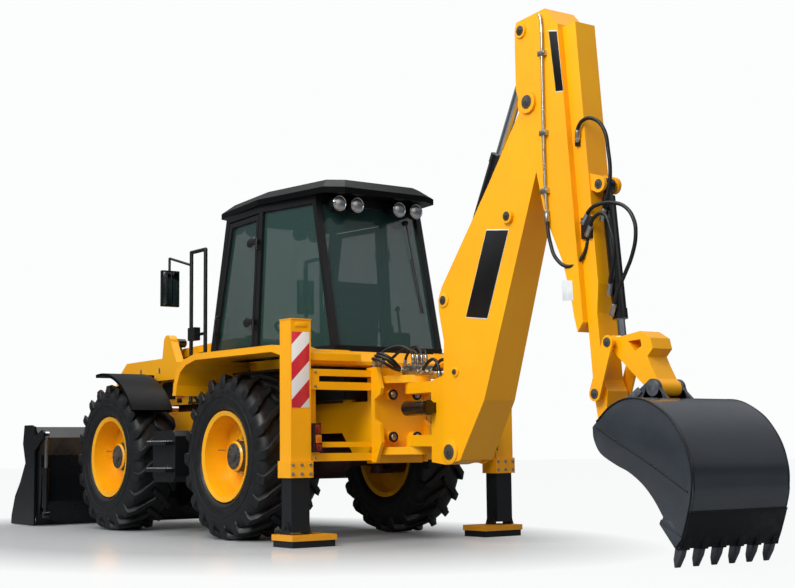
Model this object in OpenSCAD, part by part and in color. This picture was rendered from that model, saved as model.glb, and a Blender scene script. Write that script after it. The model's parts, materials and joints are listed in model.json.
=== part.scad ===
// Backhoe loader with four equal steered wheels, a side shifting backhoe
// and a clam type front shovel. +X is forwards, +Y is left, +Z is up.
// Heights start at the ground. Stations along X are first taken from the
// rear axle, and place() then moves them to the middle of the machine.

/* [Wheels] */
// Distance between the axles
wheelbase = 2220; // [2100:10:2340]
// Outer radius of a tyre over its lugs
tyre_r = 697; // [670:1:705]
// Width of a tyre
tyre_w = 440; // [400:5:450]
// Middle of a wheel from the centre line
wheel_y = 830; // [820:1:850]
// Radius of the bead seat
rim_r = 355; // [340:1:365]
// Width of a rim over its flanges
rim_w = 390; // [360:5:396]
// Steering pin from the centre line
kingpin_y = 560; // [550:1:570]

/* [Chassis] */
// Height of the top of the chassis rails
rail_top = 1130; // [1100:5:1150]
// Height of a chassis rail
rail_h = 250; // [200:5:270]
// Outer face of a chassis rail from the centre line
rail_y = 300; // [280:1:305]
// Thickness of a chassis rail
rail_t = 40; // [20:1:60]
// Station of the loader towers
tower_x = 1080; // [1060:5:1100]
// Thickness of a tower plate
tower_t = 15; // [10:1:17]

/* [Cab] */
// Height of the window sill
sill_z = 1560; // [1530:5:1600]
// Height of the cab under its roof
head_z = 2830; // [2750:5:2900]
// Thickness of the roof
roof_t = 130; // [90:5:160]
// Width of a cab post
post_w = 60; // [40:1:75]
// Thickness of a window pane
glass_t = 6; // [4:1:10]

/* [Backhoe] */
// Place of the backhoe along the rear frame at rest
shift_y = 90; // [0:5:150]
// Outer half width of the boom at its foot
boom_foot_w = 160; // [150:1:170]
// Outer half width of the boom at its top
boom_top_w = 100; // [92:1:110]
// Thickness of the boom's plates
boom_t = 18; // [12:1:22]
// Half width of the dipper
dipper_w = 142; // [136:1:150]
// Thickness of the dipper's plates
dipper_t = 20; // [14:1:24]
// Width of the backhoe bucket
bucket_w = 900; // [600:10:950]

/* [Loader] */
// Width of the shovel
shovel_w = 2440; // [2300:10:2500]
// Inner face of a loader arm from the centre line
arm_y = 450; // [445:1:460]
// Thickness of a loader arm
arm_t = 80; // [60:1:84]
// Half width of the hood
hood_w = 320; // [290:1:322]

/* [Stabilisers] */
// Height of the top of an outer tube
tube_top = 1755; // [1650:5:1800]
// Height of the bottom of an outer tube
tube_bottom = 530; // [500:5:560]
// Width of an outer tube
tube_w = 185; // [170:1:195]
// Depth of an outer tube
tube_d = 160; // [150:1:170]
// Middle of an outer tube from the centre line
tube_y = 1033; // [1020:1:1040]

/* [Hidden] */
$fn = 48;

// Running clearances: flat faces that slide, ram rods, pins and fitted pieces
slide_gap = 0.8;
rod_gap = 0.6;
pin_gap = 0.5;
seat_gap = 0.3;
spin_gap = 0.06;
// How far the gland of a ram stands out over its barrel
gland = 5;

// The shovel's lip and the bucket's teeth mark the ends of the machine
shovel_front = 4150;
bucket_back = -4750;
mid_x = (shovel_front + bucket_back) / 2;

axle_z = tyre_r;
axle_tube_r = 105;
spindle_r = 60;
hub_r = 128;
hub_face = wheel_y + 100;
disc_y = wheel_y - 16;

// Loader pins, all as [station, height]
arm_pin = [tower_x, 1500];
lift_foot = [tower_x + 120, 985];
lift_head = [2000, 1500];
tilt_foot = [1980, 1800];
tilt_head = [3330, 860];
shovel_pin = [3280, 280];
clam_pin = [3700, 774];
clam_foot = [3370, 120];
clam_head = [3370, 930];
arm_mid = arm_y + arm_t / 2;
ram_y = arm_y - 74;
ram_r = 42;
clam_ram_y = shovel_w / 2 - 50;

hood_pin = [982, 1800];

// Backhoe pins
slew_x = -1470;
boom_pin = [-2070, 717];
boom_ram_foot = [-2056, 1216];
boom_ram_head = [-2758, 2431];
dipper_ram_foot = [-1990, 1880];
knuckle_pin = [-3020, 3230];
dipper_ram_head = [-2954, 3776];
bucket_ram_foot = [-3650, 2539];
lever_pin = [-3630, 1100];
lever_head = [-3760, 1440];
link_pin = [-4140, 1120];
bucket_pin = [-3700, 850];

// The rear frame
frame_x = -1130;
rail_x = -1160;
leg_wall = 9;

module place() { translate([-mid_x, 0, 0]) children(); }
module both() { children(); mirror([0, 1, 0]) children(); }
module at_side(s) { if (s > 0) children(); else mirror([0, 1, 0]) children(); }

// Stands an X and Z outline up between two Y stations
module slab(y0, y1) {
  translate([0, y1, 0]) rotate([90, 0, 0]) linear_extrude(y1 - y0) children();
}
// A cylinder along Y at a pin
module pin(p, r, y0, y1) { slab(y0, y1) translate(p) circle(r); }
// A box between two corners
module box(a, b) { translate(a) cube(b - a); }
// A round bar between two points in space
module rod3(p, q, r) {
  d = q - p;
  translate(p) rotate([0, acos(d.z / norm(d)), atan2(d.y, d.x)]) cylinder(h = norm(d), r = r);
}
// A flat bar between two points in space, w wide and t thick
module bar3(p, q, w, t) {
  d = q - p;
  translate(p) rotate([0, acos(d.z / norm(d)), atan2(d.y, d.x)])
    translate([-w / 2, -t / 2, 0]) cube([w, t, norm(d)]);
}
// Two discs and the plate that touches both
module plate(p, q, rp, rq) {
  d = norm(q - p);
  a = atan2(q.y - p.y, q.x - p.x);
  b = acos((rp - rq) / d);
  translate(p) circle(rp);
  translate(q) circle(rq);
  polygon([p + rp * [cos(a + b), sin(a + b)], q + rq * [cos(a + b), sin(a + b)],
    q + rq * [cos(a - b), sin(a - b)], p + rp * [cos(a - b), sin(a - b)]]);
}
// Lays its children along the line from p to q, starting at p, at station y
module along(p, q, y) {
  a = atan2(q.y - p.y, q.x - p.x);
  translate([p.x, y, p.y]) rotate([0, -a, 0]) rotate([0, 90, 0]) children();
}
// The barrel of a ram: its eye stands at p on a pin of radius pin_r, and its bore opens towards q
module barrel(p, q, y, r, rod_r, len, eye_w, pin_r) {
  neck = r + 35;
  neck_r = min(r * 0.75, eye_w / 2 - 3);
  difference() {
    union() {
      along(p, q, y) translate([0, 0, neck]) cylinder(h = len - neck, r = r);
      along(p, q, y) translate([0, 0, len - 70]) cylinder(h = 70, r = r + gland);
      along(p, q, y) cylinder(h = neck + 4, r = neck_r);
      pin(p, r, y - eye_w / 2, y + eye_w / 2);
    }
    along(p, q, y) translate([0, 0, neck + 12]) cylinder(h = len, r = rod_r + rod_gap);
    pin(p, pin_r + pin_gap, y - eye_w, y + eye_w);
  }
}
// The rod of a ram: it starts a given way along the line, with its eye at q and the eye's pin over
// the Y stations in span
module ram_rod(p, q, y, rod_r, start, eye_r, eye_w, span) {
  len = norm(q - p);
  along(p, q, y) translate([0, 0, start]) cylinder(h = len - start, r = rod_r);
  pin(q, eye_r, y - eye_w / 2, y + eye_w / 2);
  pin(q, eye_r * 0.6, span[0], span[1]);
}

// Wheels
module tyre() {
  h = tyre_w / 2;
  rotate([90, 0, 0]) rotate_extrude($fn = 96) polygon([
    [rim_r + seat_gap, -rim_w / 2 + 18], [rim_r + seat_gap, rim_w / 2 - 18], [rim_r + 40, rim_w / 2 - 18],
    [rim_r + 60, h - 14], [tyre_r - 180, h], [tyre_r - 60, h - 6], [tyre_r - 12, h - 16],
    [tyre_r, h - 70], [tyre_r, -h + 70], [tyre_r - 12, -h + 16], [tyre_r - 60, -h + 6],
    [tyre_r - 180, -h], [rim_r + 60, -h + 14], [rim_r + 40, -rim_w / 2 + 18]]);
}
module rim() {
  h = rim_w / 2;
  flange = rim_r + 27;
  hub_out = hub_face - wheel_y;
  disc = disc_y - wheel_y;
  difference() {
    rotate([90, 0, 0]) mirror([0, 0, 1]) rotate_extrude($fn = 96) {
      polygon([[rim_r - 12, -h + 10], [flange, -h], [flange, -h + 15], [rim_r, -h + 17],
        [rim_r, h - 17], [flange, h - 15], [flange, h], [rim_r - 12, h - 10]]);
      polygon([[0, disc], [hub_r + 40, disc], [hub_r + 95, disc - 26], [rim_r - 11, disc - 26],
        [rim_r - 11, disc - 10], [hub_r + 100, disc - 10], [hub_r + 45, disc + 16],
        [hub_r, disc + 16], [hub_r, hub_out - 14], [hub_r - 14, hub_out], [0, hub_out]]);
    }
    translate([0, disc - 1, 0]) rotate([-90, 0, 0]) cylinder(h = 71, r = spindle_r + spin_gap);
  }
}
module wheel_at(front, s) {
  place() translate([front ? wheelbase : 0, s * wheel_y, axle_z]) at_side(s) children();
}
// The steered stub with its two ears, brake housing and spindle
module knuckle() {
  ear_z = 150;
  y = kingpin_y - wheel_y;
  for (k = [-1, 1]) translate([0, y, k * ear_z]) {
    cylinder(h = 36, r = 62, center = true);
    translate([-45, 0, -18]) cube([90, 90, 36]);
  }
  translate([0, y + 75, 0]) rotate([-90, 0, 0]) cylinder(h = disc_y - kingpin_y - 78, r = 168);
  translate([0, y + 90, 0]) rotate([-90, 0, 0]) cylinder(h = disc_y - kingpin_y - 90 + 66, r = spindle_r);
}
module front_fender() {
  r = tyre_r + 75;
  y0 = 690 - wheel_y;
  y1 = 1110 - wheel_y;
  slab(y0, y1) intersection() {
    difference() { circle(r + 30, $fn = 96); circle(r, $fn = 96); }
    polygon([[0, 0], [220, 1400], [-1400, 1400], [-1400, 900]]);
  }
  // Stay from the knuckle, up inside the tyre and out over it
  stay = kingpin_y - wheel_y + 14;
  box([-60, stay, 168 + seat_gap], [40, stay + 22, r + 22]);
  box([-60, stay, r], [40, y0 + 2, r + 22]);
}

// Chassis
module chassis_frame() {
  low = rail_top - rail_h;
  both() {
    slab(rail_y - rail_t, rail_y) polygon([[frame_x + seat_gap + 60, low - 190], [-870, low - 190], [-700, low],
      [wheelbase + 560, low], [wheelbase + 560, rail_top], [frame_x + seat_gap + 60, rail_top]]);
    slab(rail_y - 1, ram_y - ram_r - 8) polygon([[1000, low], [1250, low], [1250, 1090], [1000, 1090]]);
    // Loader tower: one plate on each side of the arm
    for (y = [arm_y - 7 - tower_t, arm_y + arm_t + 7]) slab(y, y + tower_t) {
      plate(arm_pin, arm_pin - [0, 400], 95, 110);
      polygon([[tower_x - 95, low], [tower_x + 180, low], [tower_x + 110, 1200], [tower_x - 95, 1200]]);
    }
    // Ledges that the hood stands on
    for (x = [1290, 2400]) box([x, rail_y - 12, rail_top - 2], [x + 60, hood_w, 1200 - seat_gap]);
    box([tower_x - 80, rail_y - 2, low], [tower_x + 180, arm_y + arm_t + 7 + tower_t, low + 40]);
    box([tower_x - 95, arm_y - 7 - tower_t, low], [tower_x - 88, arm_y + arm_t + 7 + tower_t, 1400]);
    // Saddles over the axles and cab feet
    for (x = [0, wheelbase]) box([x - 110, 252, axle_z + axle_tube_r + seat_gap], [x + 110, rail_y, low + 2]);
    for (x = [-780, 780]) box([x - 60, rail_y - rail_t, rail_top - 2], [x + 60, rail_y, rail_top + 19.7]);
    pin(lift_foot, 30, rail_y - 4, ram_y + 44);
  }
  for (x = [-780, 430, wheelbase + 480])
    box([x, -rail_y + 2, low + 30], [x + 80, rail_y - 2, rail_top - 30]);
  // Nose plate with the radiator guard behind it
  box([wheelbase + 540, -rail_y, 720], [wheelbase + 590, rail_y, 1190]);
  both() pin(arm_pin, 42, arm_y - 40, arm_y + arm_t + 40);
}
// Engine block with gearbox and both propeller shafts
module powertrain() {
  low = rail_top - rail_h;
  box([1480, -240, 912], [2280, 240, 1560]);
  box([1440, -200, 1240], [1482, 200, 1500]);
  box([700, -230, 620], [1300, 230, 1060]);
  box([1298, -160, 800], [1482, 160, 1060]);
  both() for (x = [1560, 2150]) box([x, 238, 1000], [x + 70, rail_y - rail_t - seat_gap, 1060]);
  rod3([1298, 0, axle_z], [wheelbase - 215, 0, axle_z], 45);
  rod3([702, 0, axle_z], [215, 0, axle_z], 45);
}
module axle_beam() {
  rotate([90, 0, 0]) rotate_extrude($fn = 64) polygon([[0, -500], [axle_tube_r - 10, -500],
    [axle_tube_r, -250], [205, -130], [205, 130], [axle_tube_r, 250], [axle_tube_r - 10, 500], [0, 500]]);
  both() translate([0, kingpin_y, 0]) {
    cylinder(h = 264 - 2 * seat_gap, r = 58, center = true);
    translate([-58, -80, -100]) cube([116, 80, 200]);
  }
}
module axles() {
  for (x = [0, wheelbase]) translate([x, 0, axle_z]) axle_beam();
}

// Rear frame with the two outer stabiliser tubes
module stabiliser_frame() {
  in_y = tube_y - tube_w / 2;
  x1 = -1210;
  both() {
    difference() {
      union() {
        box([x1, in_y, tube_bottom], [x1 + tube_d, in_y + tube_w, tube_top]);
        box([x1 - 12, in_y - 12, tube_bottom], [x1 + tube_d + 12, in_y + tube_w + 12, tube_bottom + 130]);
      }
      box([x1 + leg_wall, in_y + leg_wall, tube_bottom - 1], [x1 + tube_d - leg_wall, in_y + tube_w - leg_wall, tube_top - 12]);
    }
    // Web that ties the cross rails to the chassis
    box([frame_x - 2, rail_y - rail_t, 720], [frame_x + 60, rail_y, 1320]);
    box([frame_x - 2, in_y - 95, 665], [frame_x + 40, in_y + 2, 1370]);
  }
  for (r = [[1215, 1376], [655, 805]]) difference() {
    box([rail_x - 30, -in_y - 2, r[0]], [frame_x, in_y + 2, r[1]]);
    box([rail_x - 31, -in_y + 90, r[0] + 62], [frame_x + 1, in_y - 90, r[0] + 108]);
  }
}
module stabiliser_leg() {
  g = leg_wall + slide_gap;
  in_y = tube_y - tube_w / 2;
  x1 = -1210;
  cx = x1 + tube_d / 2;
  leg_w = tube_w - 2 * g;
  leg_d = tube_d - 2 * g;
  difference() {
    box([x1 + g, in_y + g, 120], [x1 + tube_d - g, in_y + tube_w - g, 1250]);
    box([x1 + g + 10, in_y + g + 10, 260], [x1 + tube_d - g - 10, in_y + tube_w - g - 10, 1251]);
  }
  box([cx - 150, 750, 50], [cx + 150, 1160, 95]);
  box([cx - 140, 760, 0], [cx + 140, 1150, 52]);
  for (k = [-1, 1]) slab(tube_y + k * 95 - 9, tube_y + k * 95 + 9) plate([cx, 150], [cx, 70], 40, 70);
  pin([cx, 150], 20, tube_y - 112, tube_y + 112);
}

// Tanks between the wheels, with their steps
module side_tanks() {
  both() {
    slab(600, 1000) polygon([[910, 520], [960, 470], [1290, 470], [1340, 520], [1340, 880], [1290, 930], [960, 930], [910, 880]]);
    box([922, rail_y + seat_gap, 885], [982, 602, 915]);
    for (z = [560, 800]) box([930, 998, z], [1320, 1090, z + 30]);
  }
}

// Cab. Posts run from the sill to the head, as [[x, y] at the sill, [x, y] at the head]
sill_a = [935, 600];
sill_b = [-10, 700];
sill_c = [-945, 530];
head_a_x = 690;
head_c_x = -660;
// How far each side wall leans in at its head
lean_in = 62;
function wall_normal(p, q) = let (d = (q - p) / norm(q - p)) [-d.y, d.x];
normal_f = wall_normal(sill_b, sill_a);
normal_r = wall_normal(sill_c, sill_b);
function lean_y(p, x, n) = p.y + (-lean_in - n.x * (x - p.x)) / n.y;
det_n = normal_f.x * normal_r.y - normal_f.y * normal_r.x;
head_b = sill_b + lean_in * [normal_f.y - normal_r.y, normal_r.x - normal_f.x] / det_n;
post_a = [sill_a, [head_a_x, lean_y(sill_a, head_a_x, normal_f)]];
post_b = [sill_b, head_b];
post_c = [sill_c, [head_c_x, lean_y(sill_c, head_c_x, normal_r)]];
floor_z = 1150;
function sill_at(p) = [p[0].x, p[0].y, sill_z];
function head_at(p) = [p[1].x, p[1].y, head_z];
module cab_frame() {
  difference() {
    cab_bars();
    panes(seat_gap);
  }
  cab_tub();
  both() {
    on_door() for (y = hinge_stations) door_hinge(y, -1);
    // Lugs of the hood's hinge
    box([940, 190 + seat_gap, sill_z - 20], [975, 230, hood_pin.y + 12]);
    pin(hood_pin, 12, 190 + seat_gap, 230);
    box([970, 190 + seat_gap, hood_pin.y - 12], [hood_pin.x, 230, hood_pin.y + 12]);
  }
}
// An outline moved outwards by e on all sides
function moved(pts, e) = let (n = len(pts)) [for (i = [0:n - 1]) let (
  a = pts[(i + n - 1) % n],
  b = pts[i],
  c = pts[(i + 1) % n],
  u = (b - a) / norm(b - a),
  v = (c - b) / norm(c - b),
  nu = [u.y, -u.x],
  nv = [v.y, -v.x])
  b + e * (nu + nv) / (1 + nu * nv)];
function plan_at(k) = [for (p = [post_a, post_b, post_c]) [p[k].x, p[k].y]];
function whole_plan(k) = let (half = plan_at(k))
  concat(half, [for (i = [2:-1:0]) [half[i].x, -half[i].y]]);
module cab_ring(k, z) {
  pts = whole_plan(k);
  translate([0, 0, z - post_w / 2]) linear_extrude(post_w) difference() {
    polygon(moved(pts, post_w / 2));
    polygon(moved(pts, -post_w / 2));
  }
}
module cab_bars() {
  bar_w = post_w - 6;
  cab_ring(0, sill_z);
  cab_ring(1, head_z);
  both() {
    for (p = [post_a, post_b, post_c]) bar3(sill_at(p), head_at(p), bar_w, bar_w);
    // Corner of the cab below the front post
    bar3([post_a[0].x, post_a[0].y, sill_z], [post_a[0].x - 20, post_a[0].y, floor_z + 15], bar_w, bar_w);
  }
}
// Floor, front and rear walls, and side walls over the wheels
module cab_tub() {
  box([-900, -340, floor_z], [900, 340, floor_z + 30]);
  box([880, -570, floor_z], [910, 570, sill_z]);
  box([-960, -420, floor_z], [-930, 420, sill_z]);
  both() {
    box([-930, 400, floor_z], [520, 430, 1430]);
    box([-930, 330, floor_z], [900, 432, floor_z + 30]);
    box([600, 330, floor_z], [900, 590, floor_z + 30]);
    box([-900, 400, 1410], [520, 640, 1430]);
  }
}
module cab_roof() {
  z = head_z + post_w / 2 + seat_gap;
  over = 110;
  outline = [[post_a[1].x + 230, 430], [post_a[1].x + 160, 570], [0, post_b[1].y + 60],
    [post_c[1].x - 190, post_c[1].y + 60], [post_c[1].x - 280, 420]];
  full = concat(outline, [for (i = [len(outline) - 1:-1:0]) [outline[i].x, -outline[i].y]]);
  hull() {
    translate([0, 0, z]) linear_extrude(50) polygon(full);
    translate([0, 0, z + roof_t - 4]) linear_extrude(4) scale([0.9, 0.84]) polygon(full);
  }
}
// A pane between two posts, standing on the sill line, and made larger by e all round for its groove
module pane(a, b, e) {
  m = post_w / 2 - 7 - e;
  d0 = [b[0].x - a[0].x, b[0].y - a[0].y];
  n0 = norm(d0);
  angle = atan2(d0.y, d0.x);
  lean_a = [a[1].x - a[0].x, a[1].y - a[0].y];
  lean_b = [b[1].x - b[0].x, b[1].y - b[0].y];
  u = d0 / n0;
  v = [-u.y, u.x];
  h = norm([lean_a * v, head_z - sill_z]);
  tilt = atan2(lean_a * v, head_z - sill_z);
  translate([a[0].x, a[0].y, sill_z]) rotate([0, 0, angle]) rotate([90 - tilt, 0, 0])
    translate([0, 0, -glass_t / 2 - e]) linear_extrude(glass_t + 2 * e) polygon([
      [m, m], [n0 - m, m], [n0 + lean_b * u - m, h - m], [lean_a * u + m, h - m]]);
}
function other_side(p) = [[p[0].x, -p[0].y], [p[1].x, -p[1].y]];
module panes(e) {
  both() pane(post_b, post_c, e);
  pane(post_c, other_side(post_c), e);
  pane(other_side(post_a), post_a, e);
}
module cab_glass() { panes(0); }
module cab_interior() {
  seat = floor_z + 30;
  box([-420, -240, seat], [40, 240, seat + 250]);
  box([-480, -270, seat + 248], [80, 270, seat + 380]);
  slab(-250, 250) polygon([[-470, seat + 378], [-350, seat + 378], [-420, seat + 1000], [-530, seat + 1000]]);
  box([640, -160, seat], [760, 160, seat + 420]);
  rod3([640, 0, seat + 420], [490, 0, seat + 650], 30);
  translate([490, 0, seat + 650]) rotate([0, -32, 0]) rotate_extrude() translate([185, 0]) circle(16, $fn = 24);
  translate([490, 0, seat + 650]) rotate([0, -32, 0]) { cube([370, 24, 16], center = true); cube([24, 370, 16], center = true); }
  box([640, -160, seat + 415], [700, 160, seat + 440]);
  both() {
    box([-760, 250, seat], [-600, 390, seat + 560]);
    rod3([-680, 320, seat + 558], [-640, 320, seat + 760], 14);
    translate([-640, 320, seat + 770]) sphere(r = 30);
  }
}

// Rear fenders with the cowl that joins them behind the cab
module fender_line(t) {
  polygon([[760, 1230 - t], [745, 1330], [680, 1470 - t], [560, 1540], [350, 1580], [-900, 1575], [-1180, 1500],
    [-1180, 1500 - 55], [-900, 1575 - 55], [350, 1525], [520, 1490], [625, 1430], [680, 1320], [700, 1230 - t]]);
}
module rear_fenders() {
  both() {
    // Skirt that stands on the side of the cab
    box([-900, 440, 1430 + seat_gap], [500, 470, 1530]);
    difference() {
      slab(440, 1110) fender_line(0);
      // Recess where the outer tube passes
      box([-1300, tube_y - tube_w / 2 - 20, 1300], [-1040, 1400, 1700]);
      // Room for the cab's sills
      box([-1000, 0, sill_z - post_w / 2 - 12], [1000, 700 + post_w / 2 + 15, 1700]);
    }
  }
  slab(-880, 880) polygon([[-990, 1412], [-1090, 1412], [-1125, 1425], [-1125, 1450], [-1000, 1540], [-990, 1540]]);
}

// Handrail hoops beside the hood, each with its mirror
module handrails() {
  both() {
    rod3([1290, 640, 1180], [1290, 640, 2600], 18);
    rod3([1020, 640, 1180], [1020, 640, 2600], 18);
    rod3([1290, 640, 2600], [1020, 640, 2600], 18);
    for (x = [1020, 1290]) translate([x, 640, 2600]) sphere(r = 18.5);
    rod3([1290, 640, 1820], [1020, 640, 1820], 14);
    box([1000, arm_y + arm_t + 7 + tower_t + seat_gap, 1180], [1310, 660, 1200]);
    rod3([1290, 640, 2480], [1500, 760, 2560], 12);
    translate([1500, 760, 2330]) cylinder(h = 232, r = 12);
    translate([1490, 760, 2270]) cube([40, 180, 340], center = true);
  }
}
module lamps() {
  z = head_z - 40;
  both() {
    for (y = [220, 400]) translate([post_c[1].x - 110, y, z]) rotate([0, -90, 0]) cylinder(h = 60, r = 65);
    for (y = [220, 400]) box([post_c[1].x - 112, y - 30, z - 30], [post_c[1].x - post_w / 2 - seat_gap, y + 30, z + 30]);
    for (y = [260, 430]) translate([post_a[1].x + 80, y, z]) rotate([0, 90, 0]) cylinder(h = 60, r = 65);
    for (y = [260, 430]) box([post_a[1].x + post_w / 2 + seat_gap, y - 30, z - 30], [post_a[1].x + 82, y + 30, z + 30]);
    slab(tube_y - tube_w / 2 - 80, tube_y - tube_w / 2 - 12.3) polygon([[-1250, 725], [rail_x - 30 - seat_gap, 725], [rail_x - 30 - seat_gap, 950], [-1230, 950]]);
    box([1090, 654 + seat_gap, 1760], [1220, 715, 1880]);
  }
}

// Doors, hinged at the middle post. Here x runs from the hinge to the latch, y up and z outwards
hinge_stations = [260, 960];
hinge_at = [4, post_w / 2 + 26];
module on_door() {
  d = post_a[0] - post_b[0];
  tilt = atan2(lean_in, head_z - sill_z);
  translate([post_b[0].x, post_b[0].y, sill_z]) rotate([0, 0, atan2(d.y, d.x)]) rotate([90 + tilt, 0, 0])
    mirror([0, 0, 1]) children();
}
// One half of a hinge at station y: the door's (k = 1) stands on the post's (k = -1)
module door_hinge(y, k) {
  long = 50;
  base = k > 0 ? y + seat_gap : y - long;
  translate([hinge_at.x, base, hinge_at.y]) rotate([-90, 0, 0]) cylinder(h = long, r = 13);
  if (k > 0) {
    translate([hinge_at.x, base + 4, hinge_at.y - 8]) cube([100, long - 8, 16]);
    translate([hinge_at.x + 60, base + 4, door_out - 2]) cube([40, long - 8, hinge_at.y - door_out + 4]);
  } else translate([hinge_at.x - 12, base + 4, 10]) cube([24, long - 8, hinge_at.y - 10]);
}
door_in = -24;
door_out = 26;
door_m = post_w / 2 + 14;
function door_edge(m) = let (
  w = norm(post_a[0] - post_b[0]),
  top_w = w + post_a[1].x - post_a[0].x,
  h = norm([lean_in, head_z - sill_z]))
  [[m, m], [w - m - 4, m], [top_w - m - 4, h - m], [m + 8, h - m]];
module door_pane(e) {
  translate([0, 0, -glass_t / 2 - e]) linear_extrude(glass_t + 2 * e) polygon(door_edge(door_m + 35 - e));
}
module door() {
  on_door() {
    difference() {
      translate([0, 0, door_in]) linear_extrude(door_out - door_in) difference() {
        polygon(door_edge(door_m));
        polygon(door_edge(door_m + 42));
      }
      door_pane(seat_gap);
    }
    for (y = hinge_stations) door_hinge(y, 1);
    latch = door_edge(door_m)[1];
    translate([latch.x - 105, 190, door_out - 2]) cube([44, 60, 32]);
  }
}
module door_glass() { on_door() door_pane(0); }

// Hood with its sloping nose
module hood() {
  both() {
    pin(hood_pin, 12, 140, 190);
    box([hood_pin.x, 140, 1760], [997, 190, hood_pin.y + 12]);
  }
  z0 = 1200;
  side = [[985, z0], [2560, z0], [2700, 1290], [2640, 1460], [2440, 1690], [2300, 1740], [1000, 1790], [985, 1770]];
  inner = [[1000, z0 - 1], [2540, z0 - 1], [2670, 1295], [2610, 1450], [2420, 1665], [2290, 1712], [1000, 1762]];
  difference() {
    slab(-hood_w, hood_w) polygon(side);
    slab(-hood_w + 14, hood_w - 14) polygon(inner);
    for (k = [0:5]) translate([2700, 0, 1270 + k * 55]) rotate([0, 0, 0]) box([-320, -240, 0], [60, 240, 26]);
  }
}

// Loader
module loader_arms() {
  both() {
    difference() {
      slab(arm_y, arm_y + arm_t) {
        translate(arm_pin) circle(85);
        polygon([arm_pin + [0, 85], arm_pin + [0, -70], [1500, 1436], [2800, 1436], [3060, 800],
          shovel_pin + [-80, 10], shovel_pin + [78, 20], [3262, 560], [3205, 800], [3180, 960], [3085, 1480], [2860, 1640], [2080, 1650],
          [2050, 1810], [1910, 1810], [1780, 1600]]);
        translate(shovel_pin) circle(80);
        translate(tilt_foot) circle(72);
      }
      pin(arm_pin, 42 + pin_gap, 0, 1000);
      pin(shovel_pin, 36 + pin_gap, 0, 1000);
    }
    pin(tilt_foot, 30, ram_y - 48, arm_y + 2);
  }
  rod3([2880, -arm_y - 2, 1480], [2880, arm_y + 2, 1480], 70);
}
module shovel() {
  w = shovel_w / 2 - 28;
  back = [[3600, 1010], [3500, 900], [3445, 720], [3430, 500], [3445, 250], [3500, 60], [3540, 8],
    [3560, 8], [3520, 70], [3465, 255], [3450, 500], [3465, 715], [3517, 888], [3612, 995]];
  slab(-w, w) polygon(back);
  both() {
    slab(w - 20, w) polygon([[3600, 1010], [3500, 900], [3445, 720], [3430, 500], [3445, 250], [3500, 60],
      [3540, 8], [3640, 300], [3760, 700], [3790, 800], [3700, 860]]);
    for (y = [arm_y - 35, arm_y + arm_t + 8]) slab(y, y + 27) {
      plate(shovel_pin, shovel_pin + [160, 0], 75, 130);
      polygon([[3300, 330], [3460, 200], [3460, 600]]);
    }
    pin(shovel_pin, 36, arm_y - 40, arm_y + arm_t + 40);
    for (y = [ram_y - 62, ram_y + 32]) slab(y, y + 27) union() {
      plate(tilt_head, [3470, 800], 55, 60);
      polygon([[3300, 830], [3470, 640], [3500, 890]]);
    }
    for (y = [ram_y - 70, ram_y + 57]) pin(tilt_head, 34, y, y + 12);
    pin(clam_foot, 18, clam_ram_y - 40, clam_ram_y + 26);
    slab(clam_ram_y - 38, clam_ram_y - 22.3) plate(clam_foot, [3490, 130], 34, 40);
    pin(clam_pin, 36, w - 22, shovel_w / 2);
  }
}
module clam() {
  w = shovel_w / 2;
  side = [[3545, 20], [3560, 6], [4120, 6], [4150, 12], [4140, 95], [4054, 295], [3924, 438],
    [3790, 640], [3862, 840], [3830, 1030], [3650, 1030], [3560, 1010]];
  both() {
    difference() {
      union() {
        slab(w - 20, w) polygon(side);
        slab(w - 20, w) plate(clam_pin, clam_head, 90, 46);
      }
      pin(clam_pin, 36 + pin_gap, 0, 2000);
    }
  }
  slab(-w + 18, w - 18) polygon([[3572, 8], [4120, 6], [4150, 12], [4120, 30], [3590, 30]]);
}
lift_len = 800;
tilt_len = 1290;
clam_len = 470;
module lift_barrels() { both() barrel(lift_foot, lift_head, ram_y, ram_r, 24, lift_len, 74, 30); }
module lift_rods() { both() ram_rod(lift_foot, lift_head, ram_y, 24, 160, 48, 74, [ram_y - 44, arm_y - 1]); }
module tilt_barrels() { both() barrel(tilt_foot, tilt_head, ram_y, ram_r, 24, tilt_len, 74, 30); }
module tilt_rods() { both() ram_rod(tilt_foot, tilt_head, ram_y, 24, 330, 50, 62, [ram_y - 34, ram_y + 31.7]); }
module clam_barrels() { both() barrel(clam_foot, clam_head, clam_ram_y, 32, 18, clam_len, 44, 18); }
module clam_rods() { both() ram_rod(clam_foot, clam_head, clam_ram_y, 18, 366, 32, 40, [clam_ram_y - 22, shovel_w / 2 - 20.3]); }

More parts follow.
